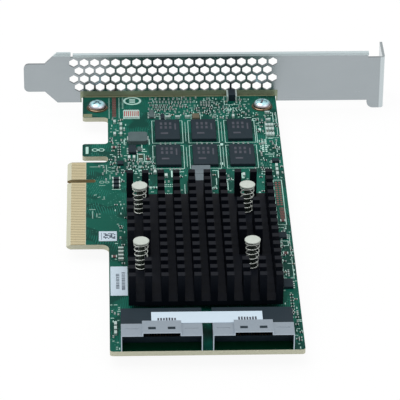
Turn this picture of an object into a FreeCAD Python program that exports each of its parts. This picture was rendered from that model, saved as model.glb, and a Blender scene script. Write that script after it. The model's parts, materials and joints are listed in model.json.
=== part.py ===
import FreeCAD, Part

import math
import os
import re

import Sketcher

# A low-profile storage controller card on a full-height bracket, lying component side up.
# X runs from the tips of the edge fingers to the free long edge, Y from the cable sockets to the
# bracket, and Z up. The origin is at the finger tips, on the key's centre line, half-way through
# the board.

SIZES = {
    # circuit board
    "board_thick": 1.57,
    "board_length": 155.65,
    "board_reach": 68.9,  # finger tips to the free long edge
    "finger_reach": 12.95,  # finger tips to the board's body
    "tab_inset": 4.7,  # finger tips to the ends of the two tabs
    "bracket_side": 57.15,  # key centre to the bracket-side edge
    "screw_tab_length": 14.9,
    "index_tab_start": 32.9,  # bracket-side edge to the index tab
    "index_tab_length": 8.35,
    "key_to_block": 12.15,  # key centre to the finger block's bracket-side end
    "block_length": 51.3,
    "key_width": 1.9,
    "key_depth": 8.9,
    "key_round": 0.6,
    "corner_round": 1.0,
    "notch_round": 1.4,
    "block_round": 2.4,
    "bevel_run": 1.3,
    "bevel_rise": 0.47,
    # gold fingers
    "pad_pitch": 1.0,
    "pad_width": 0.7,
    "pad_length": 4.5,
    "pad_thick": 0.05,
    "key_to_pad": 1.5,  # key centre to the first finger on each side
    # bracket
    "sheet_thick": 0.86,
    "bracket_length": 120.02,
    "bracket_width": 18.42,
    "bracket_tail": 14.75,  # lower end of the bracket beyond the finger tips
    "bracket_gap": 0.4,
    "bend_radius": 0.35,
    "tail_width": 10.19,
    "tail_length": 6.9,
    "tail_round": 1.7,
    "lip_inset": 16.3,
    "lip_depth": 2.4,
    "relief_width": 0.7,
    "relief_depth": 1.7,
    "flange_length": 11.43,
    "flange_cut": 2.5,  # top edge lowered next to the flange
    "flange_drop": 2.9,  # bottom edge lowered next to the flange
    "flange_root": 5.6,  # length of the lowered edges
    "flange_round": 2.2,
    "notch_width": 4.42,
    "notch_depth": 7.2,
    "notch_setback": 6.35,
    "vent_pitch": 3.48,
    "vent_web": 0.66,
    "vent_inset": 16.55,  # lower end of the bracket to the first vent
    "vent_rise": 5.55,  # bottom edge of the plate to the lowest row of vents
    "ear_width": 9.0,
    "ear_margin": 4.2,
    # screws that hold the board to the bracket
    "screw_setback": 8.15,
    "screw_inset": 4.8,
    "screw_diameter": 3.0,
    "screw_hole": 3.3,
    "head_diameter": 6.6,
    "rim_thick": 0.45,
    "head_height": 2.1,
    "screw_length": 5.0,
    "recess_width": 0.8,
    "recess_span": 3.2,
    "recess_depth": 1.1,
    # controller package and the pad on it
    "package_side": 29.0,
    "package_thick": 1.1,
    "lid_side": 24.0,
    "lid_thick": 0.6,
    "paste_thick": 0.2,
    # pin-fin heat sink
    "sink_x": 41.1,
    "sink_y": -45.7,
    "sink_width": 45.1,
    "sink_length": 62.8,
    "base_thick": 1.4,
    "fin_height": 8.7,
    "fin_width": 2.1,
    "fin_depth": 2.0,
    "spur_width": 7.5,
    "spur_length": 8.4,
    "spur_offset": 0.3,
    "clear_width": 8.0,  # fins are left out around each push pin
    "clear_length": 12.9,
    # push pins and their springs
    "pin_x": 39.0,
    "pin_y": -41.4,
    "pin_span": 33.0,
    "pin_hole": 3.2,
    "pin_shaft": 2.0,
    "pin_head": 4.75,
    "pin_head_thick": 0.8,
    "pin_head_gap": 8.6,  # heat-sink base to the underside of the head
    "barb_diameter": 3.9,
    "barb_length": 2.4,
    "slit_width": 0.7,
    "wire_diameter": 0.45,
    "spring_foot": 3.5,  # mean diameter of the lowest turn
    "spring_turns": 6.5,
    "closed_turns": 0.75,
    "spring_top": 4.2,  # mean diameter of the highest turn
    # cable sockets
    "socket_width": 23.3,
    "socket_margin": 3.2,  # free long edge to the nearer socket
    "socket_spacing": 26.25,
    "socket_depth": 15.4,
    "socket_height": 5.3,
    "shell_depth": 6.35,
    "shell_thick": 0.3,
    "latch_width": 11.2,
    "latch_rise": 1.0,
    "window_width": 2.2,
    "window_length": 1.3,
    "window_spacing": 5.6,
    "window_setback": 2.4,
    "seam_width": 3.9,
    "seam_length": 0.35,
    "seam_setback": 3.6,
    "mouth_depth": 4.6,
    "slot_width": 16.6,
    "slot_height": 1.4,
    "slot_depth": 6.0,
    "slot_rise": 1.9,
    "contact_pitch": 0.8,
    "contact_width": 0.36,
    "contact_thick": 0.2,
    "housing_bevel": 0.8,
    # memory chips
    "memory_width": 8.0,
    "memory_length": 13.3,
    "memory_thick": 1.1,
    "memory_x": 32.3,
    "memory_y": 15.05,
    "memory_pitch_x": 11.8,
    "memory_pitch_y": 16.9,
    "chip_bevel": 0.15,
    # inductor
    "choke_side": 6.3,
    "choke_height": 1.4,
    "choke_x": 22.6,
    "choke_y": 26.7,
    "choke_bevel": 0.7,
    "choke_foot": 2.6,
    "choke_foot_thick": 0.3,
    # chips, capacitors, resistors and labels
    "spur_chip_width": 7.2,
    "spur_chip_length": 13.2,
    "spur_chip_thick": 0.9,
    "cap_length": 1.6,
    "cap_width": 0.8,
    "cap_height": 0.8,
    "resistor_length": 1.0,
    "resistor_width": 0.5,
    "resistor_height": 0.35,
    "led_width": 2.3,
    "led_length": 4.4,
    "led_height": 2.4,
    "led_side": 0.55,
    "led_inset": 14.65,  # free long edge to the middle of the indicator
    "label_thick": 0.1,
    "strip_width": 32.0,
    "strip_length": 6.0,
    "barcode_width": 5.1,
    "barcode_length": 16.4,
    "barcode_x": 15.85,
    "barcode_y": -60.3,
    "code_width": 5.5,
    "code_length": 5.8,
    "code_x": 12.65,
    "code_y": -34.25,
}

FIN_COLUMNS = 10
FIN_ROWS = 15
VENT_COLUMNS = 20
VENT_ROWS = 4
FINGER_COUNTS = (11, 38)  # on the bracket side of the key and on the other
CONTACT_COUNT = 18  # in each of a socket's two rows
WIRE_STEPS = 8  # sections in each turn of a spring
HEX_SLOPE = 3 ** -0.5 / 2  # half a hexagon's side, as a share of its width across the flats
PIN_CORNERS = {"far_left": (-1, 1), "far_right": (1, 1), "near_left": (-1, -1), "near_right": (1, -1)}
SOCKETS = {"left": 1, "right": 0}  # how many socket spacings from the free long edge

TOP = "board_thick / 2"
SOCKET_EDGE = "(bracket_side - board_length)"
PLATE = "(bracket_side + bracket_gap)"  # inner face of the bracket
PLATE_BOTTOM = "(-board_thick / 2 - sheet_thick)"
PLATE_TOP = f"({PLATE_BOTTOM} + bracket_width)"
TAIL_END = "(-bracket_tail)"
FLANGE = "(bracket_length - bracket_tail)"  # outer face of the flange
LIP_START = f"({TAIL_END} + lip_inset)"
LIP_END = f"({FLANGE} - flange_root)"
SCREW_XS = ("(tab_inset + screw_inset)", "(board_reach - screw_inset)")
SCREW_Y = "(bracket_side - screw_setback)"
BASE_BOTTOM = "(board_thick / 2 + package_thick + lid_thick + paste_thick)"
BASE_TOP = f"({BASE_BOTTOM} + base_thick)"
SINK_LEFT = "(sink_x - sink_width / 2)"
SINK_NEAR = "(sink_y - sink_length / 2)"
COLUMN_PITCH = f"((sink_width - fin_width) / {FIN_COLUMNS - 1})"
ROW_PITCH = f"((sink_length - fin_depth) / {FIN_ROWS - 1})"
HEAD_UNDER = f"({BASE_TOP} + pin_head_gap)"

doc = FreeCAD.newDocument("controller_card")
sheet = doc.addObject("Spreadsheet::Sheet", "Sizes")
for row, (alias, number) in enumerate(SIZES.items(), start=1):
    sheet.set(f"A{row}", alias.replace("_", " "))
    sheet.set(f"B{row}", str(number))
    sheet.setAlias(f"B{row}", alias)
doc.recompute()

parts = []


# ---- expressions, sketches and features ----

def bound(text):
    """Points every size name in an expression at the sheet."""
    return re.sub(r"\b[a-z]+(?:_[a-z]+)+\b", r"Sizes.\g<0>", str(text))


def value(text):
    return float(sheet.evalExpression(str(text)))


def bind(thing, **expressions):
    for name, text in expressions.items():
        thing.setExpression(name, bound(text))


def place(thing, x="0", y="0", z="0"):
    for axis, text in (("x", x), ("y", y), ("z", z)):
        thing.setExpression(f"Placement.Base.{axis}", bound(text))


def keep(thing):
    parts.append(thing)
    return thing


def new_body(label, separate=False):
    body = doc.addObject("PartDesign::Body", label)
    body.AllowCompound = separate
    return keep(body)


def origin_feature(body, role):
    return next(item for item in body.Origin.OriginFeatures if item.Role == role)


def new_sketch(body, name, role="XY_Plane", offset="0"):
    sketch = body.newObject("Sketcher::SketchObject", name)
    sketch.AttachmentSupport = [(origin_feature(body, role), "")]
    sketch.MapMode = "FlatFace"
    sketch.setExpression("AttachmentOffset.Base.z", bound(offset))
    return sketch


def fix_point(sketch, element, point, x, y):
    for kind, text in (("DistanceX", x), ("DistanceY", y)):
        index = sketch.addConstraint(Sketcher.Constraint(kind, -1, 1, element, point, value(text)))
        sketch.setExpression(f"Constraints[{index}]", bound(text))


def outline(sketch, corners):
    """Adds a closed outline of straight edges. A square corner may carry a radius."""
    count = len(corners)
    spots = [FreeCAD.Vector(value(c[0]), value(c[1]), 0) for c in corners]
    joints = []  # (x, y, radius of the arc that leads on from here, its centre)
    for i, corner in enumerate(corners):
        if len(corner) == 2:
            joints.append((corner[0], corner[1], None, None))
            continue
        x, y, radius = corner
        before = (spots[i] - spots[i - 1]).normalize()
        after = (spots[(i + 1) % count] - spots[i]).normalize()
        start = (f"{x} - ({before.x:.0f}) * {radius}", f"{y} - ({before.y:.0f}) * {radius}")
        end = (f"{x} + ({after.x:.0f}) * {radius}", f"{y} + ({after.y:.0f}) * {radius}")
        centre = spots[i] + (after - before) * value(radius)
        joints.append((*start, radius, centre))
        joints.append((*end, None, None))
    first = sketch.GeometryCount
    places = [FreeCAD.Vector(value(j[0]), value(j[1]), 0) for j in joints]
    ends = []
    for i, (x, y, radius, centre) in enumerate(joints):
        here, following = places[i], places[(i + 1) % len(joints)]
        if radius is None:
            sketch.addGeometry(Part.LineSegment(here, following))
            ends.append((1, 2))
            continue
        turn = (here - centre).cross(following - centre).z
        low, high = (here, following) if turn > 0 else (following, here)
        circle = Part.Circle(centre, FreeCAD.Vector(0, 0, 1), value(radius))
        arc = Part.ArcOfCircle(circle, circle.parameter(low), circle.parameter(high))
        sketch.addGeometry(arc)
        ends.append((1, 2) if turn > 0 else (2, 1))
    for i, (x, y, radius, centre) in enumerate(joints):
        following = (i + 1) % len(joints)
        edge, next_edge = first + i, first + following
        link = Sketcher.Constraint("Coincident", edge, ends[i][1], next_edge, ends[following][0])
        sketch.addConstraint(link)
        fix_point(sketch, first + i, ends[i][0], x, y)
        if radius is not None:
            index = sketch.addConstraint(Sketcher.Constraint("Radius", first + i, value(radius)))
            sketch.setExpression(f"Constraints[{index}]", bound(radius))


def rectangle(sketch, left, low, right, high, *radius):
    corners = ((left, low), (right, low), (right, high), (left, high))
    outline(sketch, [(*corner, *radius) for corner in corners])


def centred(sketch, x, y, width, depth):
    """A rectangle placed by its middle."""
    rectangle(sketch, f"{x} - ({width}) / 2", f"{y} - ({depth}) / 2",
              f"{x} + ({width}) / 2", f"{y} + ({depth}) / 2")


def circle(sketch, x, y, diameter):
    spot = FreeCAD.Vector(value(x), value(y), 0)
    element = sketch.addGeometry(Part.Circle(spot, FreeCAD.Vector(0, 0, 1), value(diameter) / 2))
    index = sketch.addConstraint(Sketcher.Constraint("Diameter", element, value(diameter)))
    sketch.setExpression(f"Constraints[{index}]", bound(diameter))
    fix_point(sketch, element, 3, x, y)


def pad(body, name, sketch, length, side="One side", reverse=False):
    feature = body.newObject("PartDesign::Pad", name)
    feature.Profile = sketch
    feature.SideType = side
    feature.Reversed = reverse
    bind(feature, Length=length)
    body.Tip = feature
    return feature


def pocket(body, name, sketch, length=None, side="Symmetric", reverse=False):
    feature = body.newObject("PartDesign::Pocket", name)
    feature.Profile = sketch
    feature.SideType = side
    feature.Reversed = reverse
    if length is None:
        feature.Type = "ThroughAll"
    else:
        bind(feature, Length=length)
    body.Tip = feature
    return feature


def revolve(body, name, sketch):
    feature = body.newObject("PartDesign::Revolution", name)
    feature.Profile = sketch
    feature.ReferenceAxis = (sketch, ["V_Axis"])
    feature.Angle = 360
    body.Tip = feature
    return feature


def repeat(body, name, feature, axis, spacing, count):
    pattern = body.newObject("PartDesign::LinearPattern", name)
    pattern.Originals = [feature]
    pattern.Direction = (origin_feature(body, axis), [""])
    pattern.Mode = "Spacing"
    pattern.Occurrences = count
    bind(pattern, Offset=spacing)
    body.Tip = pattern


def round_edges(body, name, radius, fits):
    """Fillets the edges whose middle, length and direction the fits function accepts."""
    doc.recompute()
    base = body.Tip
    names = []
    for number, edge in enumerate(base.Shape.Edges, start=1):
        if len(edge.Vertexes) == 2:
            start, end = edge.Vertexes[0].Point, edge.Vertexes[1].Point
            if fits((start + end) / 2, end - start):
                names.append(f"Edge{number}")
    feature = body.newObject("PartDesign::Fillet", name)
    feature.Base = (base, names)
    bind(feature, Radius=radius)
    body.Tip = feature
    return feature


def bevel_edges(body, name, size, fits):
    """Chamfers the edges that the fits function accepts."""
    doc.recompute()
    base = body.Tip
    names = []
    for number, edge in enumerate(base.Shape.Edges, start=1):
        start, end = edge.Vertexes[0].Point, edge.Vertexes[-1].Point
        if fits((start + end) / 2, end - start):
            names.append(f"Edge{number}")
    feature = body.newObject("PartDesign::Chamfer", name)
    feature.Base = (base, names)
    bind(feature, Size=size)
    body.Tip = feature
    return feature


def near(a, text):
    return abs(a - value(text)) < 1e-4


def block(name, middle, size, floor=TOP):
    """A box on a floor height, placed by the middle of its footprint."""
    box = doc.addObject("Part::Box", name)
    bind(box, Length=size[0], Width=size[1], Height=size[2])
    place(box, f"{middle[0]} - ({size[0]}) / 2", f"{middle[1]} - ({size[1]}) / 2", floor)
    return box


def group(label, members):
    bundle = doc.addObject("Part::Compound", label)
    bundle.Links = members
    return keep(bundle)


# ---- circuit board ----

def board_outline():
    far = "bracket_side"
    screw_tab = "(bracket_side - screw_tab_length)"
    index_far = "(bracket_side - index_tab_start)"
    index_near = "(bracket_side - index_tab_start - index_tab_length)"
    block_near = "(key_to_block - block_length)"
    return [
        ("finger_reach", SOCKET_EDGE, "corner_round"),
        ("board_reach", SOCKET_EDGE, "corner_round"),
        ("board_reach", far, "corner_round"),
        ("tab_inset", far, "corner_round"),
        ("tab_inset", screw_tab, "corner_round"),
        ("finger_reach", screw_tab, "notch_round"),
        ("finger_reach", index_far, "notch_round"),
        ("tab_inset", index_far, "corner_round"),
        ("tab_inset", index_near, "corner_round"),
        ("finger_reach", index_near, "notch_round"),
        ("finger_reach", "key_to_block", "notch_round"),
        ("0", "key_to_block", "corner_round"),
        ("0", "key_width / 2"),
        ("key_depth", "key_width / 2", "key_round"),
        ("key_depth", "-key_width / 2", "key_round"),
        ("0", "-key_width / 2"),
        ("0", block_near, "corner_round"),
        ("finger_reach", block_near, "block_round"),
    ]


def make_board():
    body = new_body("circuit_board")
    laminate = new_sketch(body, "board_outline")
    outline(laminate, board_outline())
    pad(body, "laminate", laminate, "board_thick", side="Symmetric")
    bevels = new_sketch(body, "finger_bevel_outline", "XZ_Plane")
    for sign in ("", "-"):
        face = f"{sign}board_thick / 2"
        step = f"({face} - ({sign}bevel_rise))"
        outline(bevels, [("0", face), ("bevel_run", face), ("0", step)])
    pocket(body, "finger_bevels", bevels)
    holes = new_sketch(body, "hole_places")
    for x in SCREW_XS:
        circle(holes, x, SCREW_Y, "screw_hole")
    for x, y in pin_places():
        circle(holes, x, y, "pin_hole")
    pocket(body, "holes", holes)


def pin_places():
    steps = PIN_CORNERS.values()
    return [(f"(pin_x + {i} * pin_span / 2)", f"(pin_y + {j} * pin_span / 2)") for i, j in steps]


def make_fingers():
    """Gold pads on both faces, on both sides of the key."""
    body = new_body("edge_contacts", separate=True)
    for face, side in (("component", 1), ("solder", -1)):
        offset = TOP if side > 0 else "-board_thick / 2 - pad_thick"
        for towards, count in zip((1, -1), FINGER_COUNTS):
            stretch = f"{face}_{'short' if towards > 0 else 'long'}"
            first = f"({towards} * (key_to_pad + (1 - {towards}) / 2 * {count - 1} * pad_pitch))"
            sketch = new_sketch(body, f"{stretch}_pad", offset=offset)
            centred(sketch, "(bevel_run + pad_length / 2)", first, "pad_length", "pad_width")
            single = pad(body, f"{stretch}_finger", sketch, "pad_thick")
            repeat(body, f"{stretch}_fingers", single, "Y_Axis", "pad_pitch", count)


# ---- bracket ----

def plate_outline():
    middle = f"({PLATE_BOTTOM} + bracket_width / 2)"
    shoulder = f"({TAIL_END} + tail_length + (bracket_width - tail_width) / 2)"
    relief_top = f"({PLATE_TOP} - relief_depth)"
    relief_low = f"({PLATE_BOTTOM} + relief_depth)"
    corners = [
        (TAIL_END, f"({middle} - tail_width / 2)", "tail_round"),
        (f"{TAIL_END} + tail_length", f"{middle} - tail_width / 2"),
        (shoulder, PLATE_BOTTOM),
    ]
    for x in SCREW_XS:  # a relief slot on each side of both ears
        for side in (-1, 1):
            inner = f"({x} + {side} * ear_width / 2)"
            outer = f"({inner} + {side} * relief_width)"
            first, last = (outer, inner) if side < 0 else (inner, outer)
            corners += [(first, PLATE_BOTTOM), (first, relief_low)]
            corners += [(last, relief_low), (last, PLATE_BOTTOM)]
    corners += [
        (LIP_END, PLATE_BOTTOM),
        (LIP_END, f"({PLATE_BOTTOM} - flange_drop)", "flange_round"),
        (FLANGE, f"({PLATE_BOTTOM} - flange_drop)"),
        (FLANGE, f"({PLATE_TOP} - flange_cut)"),
        (LIP_END, f"({PLATE_TOP} - flange_cut)"),
        (LIP_END, PLATE_TOP),
        (LIP_START, PLATE_TOP),
        (LIP_START, relief_top),
        (f"{LIP_START} - relief_width", relief_top),
        (f"{LIP_START} - relief_width", PLATE_TOP),
        (shoulder, PLATE_TOP),
        (f"{TAIL_END} + tail_length", f"{middle} + tail_width / 2"),
        (TAIL_END, f"({middle} + tail_width / 2)", "tail_round"),
    ]
    return corners


def hexagon(x, z):
    """A vent with flat sides to its left and right neighbours."""
    half = "(vent_pitch - vent_web) / 2"
    side = f"(vent_pitch - vent_web) * {HEX_SLOPE}"
    return [
        (f"{x} - {half}", f"{z} - {side}"),
        (x, f"{z} - 2 * {side}"),
        (f"{x} + {half}", f"{z} - {side}"),
        (f"{x} + {half}", f"{z} + {side}"),
        (x, f"{z} + 2 * {side}"),
        (f"{x} - {half}", f"{z} + {side}"),
    ]


def make_bracket():
    body = new_body("bracket")
    outer = f"({PLATE} + sheet_thick)"
    plate = new_sketch(body, "plate_outline", "XZ_Plane", f"-{PLATE}")
    outline(plate, plate_outline())
    pad(body, "plate", plate, "sheet_thick", reverse=True)

    lip = new_sketch(body, "lip_section", "YZ_Plane", LIP_START)
    rectangle(lip, f"{outer} - lip_depth", f"{PLATE_TOP} - sheet_thick", outer, PLATE_TOP)
    pad(body, "lip", lip, f"{LIP_END} - {LIP_START}")

    flange = new_sketch(body, "flange_outline", "YZ_Plane", f"{FLANGE} - sheet_thick")
    rectangle(flange, PLATE, f"{PLATE_BOTTOM} - flange_drop",
              f"{PLATE} + flange_length", f"{PLATE_TOP} - flange_cut")
    pad(body, "flange", flange, "sheet_thick")

    ears = new_sketch(body, "ear_outlines", offset=PLATE_BOTTOM)
    for x in SCREW_XS:
        end = f"({SCREW_Y} - ear_margin)"
        left, right = f"({x} - ear_width / 2)", f"({x} + ear_width / 2)"
        outline(ears, [
            (left, end, "flange_round"), (right, end, "flange_round"), (right, outer), (left, outer),
        ])
    pad(body, "ears", ears, "sheet_thick")

    def along(direction, index):
        return abs(direction[index]) > 0.999 * direction.Length

    def lip_outside(middle, direction):
        inside = value(LIP_START) - 1e-4 < middle.x < value(LIP_END) + 1e-4
        return along(direction, 0) and inside and near(middle.y, outer) and near(middle.z, PLATE_TOP)

    def lip_inside(middle, direction):
        level = near(middle.z, f"{PLATE_TOP} - sheet_thick")
        return along(direction, 0) and near(middle.y, PLATE) and level

    def ear_outside(middle, direction):
        on_ear = any(near(middle.x, x) for x in SCREW_XS)
        return along(direction, 0) and on_ear and near(middle.y, outer) and near(middle.z, PLATE_BOTTOM)

    def ear_inside(middle, direction):
        on_ear = any(near(middle.x, x) for x in SCREW_XS)
        level = near(middle.z, f"{PLATE_BOTTOM} + sheet_thick")
        return along(direction, 0) and on_ear and near(middle.y, PLATE) and level

    def flange_outside(middle, direction):
        return along(direction, 2) and near(middle.x, FLANGE) and near(middle.y, PLATE)

    def flange_inside(middle, direction):
        inner = near(middle.x, f"{FLANGE} - sheet_thick")
        return along(direction, 2) and inner and near(middle.y, outer)

    outer_radius = "bend_radius + sheet_thick"
    inside = (lip_inside, ear_inside, flange_inside)
    outside = (lip_outside, ear_outside, flange_outside)
    round_edges(body, "inner_bends", "bend_radius", lambda *edge: any(test(*edge) for test in inside))
    round_edges(body, "outer_bends", outer_radius, lambda *edge: any(test(*edge) for test in outside))

    notch = new_sketch(body, "screw_notch_outline", "YZ_Plane", FLANGE)
    centre = f"({PLATE} + notch_setback)"
    low = f"({PLATE_BOTTOM} - flange_drop)"
    rectangle(notch, f"({centre} - notch_width / 2)", f"({low} - notch_width)",
              f"({centre} + notch_width / 2)", f"({low} + notch_depth)", "notch_width * 0.48")
    pocket(body, "screw_notch", notch, "2 * bend_radius + 2 * sheet_thick")

    holes = new_sketch(body, "ear_hole_places", offset=PLATE_BOTTOM)
    for x in SCREW_XS:
        circle(holes, x, SCREW_Y, "screw_diameter")
    pocket(body, "ear_holes", holes, "3 * sheet_thick")

    for row in range(VENT_ROWS):
        inset = 0.5 if row % 2 == 0 else 0  # every other row is half a pitch in, with one vent fewer
        x = f"({TAIL_END} + vent_inset + {inset} * vent_pitch)"
        z = f"({PLATE_BOTTOM} + vent_rise + {row} * {3 * HEX_SLOPE} * vent_pitch)"
        sketch = new_sketch(body, f"vent_outline_{row + 1}", "XZ_Plane", f"-{PLATE}")
        outline(sketch, hexagon(x, z))
        vent = pocket(body, f"vent_{row + 1}", sketch, "3 * sheet_thick")
        count = VENT_COLUMNS - (row + 1) % 2
        repeat(body, f"vent_row_{row + 1}", vent, "X_Axis", "vent_pitch", count)


def make_screws():
    """Two pan-head screws with a cross recess, driven down through the board into the ears."""
    screws = []
    for side, x in zip(("left", "right"), SCREW_XS):
        body = doc.addObject("PartDesign::Body", f"screw_{side}")
        top = "head_height"
        profile = new_sketch(body, f"screw_{side}_profile", "XZ_Plane")
        shank = "screw_diameter / 2"
        outline(profile, [
            ("0", "-screw_length"), (shank, "-screw_length"), (shank, "0"), ("head_diameter / 2", "0"),
            ("head_diameter / 2", "rim_thick"), ("head_diameter * 0.44", "rim_thick"),
            ("head_diameter * 0.39", f"{top} * 0.6"), ("head_diameter * 0.26", f"{top} * 0.9"), ("0", top),
        ])
        revolve(body, f"screw_{side}_blank", profile)
        cross = new_sketch(body, f"screw_{side}_cross", offset=top)
        half, arm = "recess_width / 2", "recess_span / 2"
        quarter = ((arm, half), (half, half), (half, arm))
        turns = ((1, 1), (-1, 1), (-1, -1), (1, -1))
        corners = []
        for index, (across, up) in enumerate(turns):
            spots = quarter if index % 2 == 0 else quarter[::-1]
            corners += [(f"{across} * {x_size}", f"{up} * {y_size}") for x_size, y_size in spots]
        outline(cross, corners)
        pocket(body, f"screw_{side}_recess", cross, "2 * recess_depth")
        place(body, x, SCREW_Y, TOP)
        screws.append(body)
    group("bracket_screws", screws)


# ---- controller, heat sink and what holds it down ----

def make_controller():
    centre = ("pin_x", "pin_y")
    keep(block("controller_substrate", centre, ("package_side", "package_side", "package_thick")))
    lid_floor = f"{TOP} + package_thick"
    keep(block("controller_lid", centre, ("lid_side", "lid_side", "lid_thick"), lid_floor))
    pad_floor = f"{lid_floor} + lid_thick"
    keep(block("thermal_pad", centre, ("lid_side", "lid_side", "paste_thick"), pad_floor))


def make_heat_sink():
    body = new_body("heat_sink")
    right, far = f"({SINK_LEFT} + sink_width)", f"({SINK_NEAR} + sink_length)"
    spur_left = "(sink_x + spur_offset - spur_width / 2)"
    spur_right = "(sink_x + spur_offset + spur_width / 2)"
    base = new_sketch(body, "base_outline", offset=BASE_BOTTOM)
    outline(base, [
        (SINK_LEFT, SINK_NEAR), (right, SINK_NEAR), (right, far), (spur_right, far),
        (spur_right, f"({far} + spur_length)", "corner_round"),
        (spur_left, f"({far} + spur_length)", "corner_round"),
        (spur_left, far), (SINK_LEFT, far),
    ])
    pad(body, "base", base, "base_thick")

    fin = new_sketch(body, "fin_section", "XZ_Plane", f"-{SINK_NEAR}")
    rectangle(fin, SINK_LEFT, BASE_TOP, f"{SINK_LEFT} + fin_width", f"{BASE_TOP} + fin_height")
    first_fin = pad(body, "first_fin", fin, "sink_length", reverse=True)
    repeat(body, "fins", first_fin, "X_Axis", COLUMN_PITCH, FIN_COLUMNS)

    cut = new_sketch(body, "cross_cut_section", "YZ_Plane", "sink_x")
    rectangle(cut, f"{SINK_NEAR} + fin_depth", BASE_TOP, f"{SINK_NEAR} + {ROW_PITCH}",
              f"{BASE_TOP} + fin_height + fin_width")
    first_cut = pocket(body, "first_cross_cut", cut, "sink_width + fin_width")
    repeat(body, "cross_cuts", first_cut, "Y_Axis", ROW_PITCH, FIN_ROWS - 1)

    clear = new_sketch(body, "pin_clearances", offset=BASE_TOP)
    for x, y in pin_places():
        centred(clear, x, y, "clear_width", "clear_length")
    pocket(body, "pin_clearance", clear, "fin_height + fin_width", side="One side", reverse=True)

    holes = new_sketch(body, "pin_hole_places", offset=BASE_BOTTOM)
    for x, y in pin_places():
        circle(holes, x, y, "pin_hole")
    pocket(body, "pin_holes", holes, "2 * base_thick", side="One side", reverse=True)


def make_push_pins():
    """Barbed pins through the heat-sink base and the board, each with a compression spring."""
    under = "(-board_thick / 2)"
    top = f"({HEAD_UNDER} + pin_head_thick)"
    for corner, (x, y) in zip(PIN_CORNERS, pin_places()):
        body = new_body(f"push_pin_{corner}")
        profile = new_sketch(body, f"pin_profile_{corner}", "XZ_Plane")
        outline(profile, [
            ("0", f"{under} - barb_length"), ("barb_diameter * 0.28", f"{under} - barb_length"),
            ("barb_diameter / 2", under), ("pin_shaft / 2", under), ("pin_shaft / 2", HEAD_UNDER),
            ("pin_head / 2", HEAD_UNDER), ("pin_head / 2", f"{top} - pin_head_thick * 0.35"),
            ("pin_head * 0.38", top), ("0", top),
        ])
        revolve(body, f"pin_blank_{corner}", profile)
        slit = new_sketch(body, f"pin_slit_outline_{corner}", "XZ_Plane")
        rectangle(slit, "-slit_width / 2", f"{under} - 2 * barb_length", "slit_width / 2", TOP)
        pocket(body, f"pin_slit_{corner}", slit, "2 * barb_diameter")
        place(body, x, y)
        make_spring(corner, x, y)


def make_spring(corner, x, y):
    """A tapered compression spring whose end turns lie flat on the base and under the head."""
    wire, height = value("wire_diameter"), value("pin_head_gap")
    foot, head = value("spring_foot") / 2, value("spring_top") / 2
    steps = round(value("spring_turns") * WIRE_STEPS)
    flat = value("closed_turns") * WIRE_STEPS
    sections = []
    for step in range(steps + 1):
        share = min(max((step - flat) / (steps - 2 * flat), 0), 1)
        middle = wire / 2 + share * (height - wire)
        radius = foot + share * (head - foot)
        angle = 2 * math.pi * step / WIRE_STEPS
        out = FreeCAD.Vector(math.cos(angle), math.sin(angle), 0)
        corners = []
        for across, up in ((-1, -1), (1, -1), (1, 1), (-1, 1), (-1, -1)):
            level = FreeCAD.Vector(0, 0, middle + up * wire / 2)
            corners.append(out * (radius + across * wire / 2) + level)
        sections.append(Part.makePolygon(corners))
    spring = doc.addObject("Part::Feature", f"pin_spring_{corner}")
    spring.Shape = Part.makeLoft(sections, True, True)
    place(spring, x, y, BASE_TOP)
    keep(spring)


# ---- cable sockets ----

def shell_section(left):
    """A folded sheet: two side walls and a top that steps up in the middle over the latch."""
    def fold(inset):
        right = f"({left} + socket_width)"
        step_left = f"({left} + (socket_width - latch_width) / 2)"
        step_right = f"({step_left} + latch_width)"
        roof = f"({TOP} + socket_height)"
        latch = f"({roof} + latch_rise)"
        rise = [(left, TOP), (left, roof), (step_left, roof), (step_left, latch)]
        drop = [(step_right, latch), (step_right, roof), (right, roof), (right, TOP)]
        return [(f"{x} + {inset}", z if z == TOP else f"{z} - {inset}") for x, z in rise] + [
            (f"{x} - {inset}", z if z == TOP else f"{z} - {inset}") for x, z in drop]
    return fold("0")[::-1] + fold("shell_thick")


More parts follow.
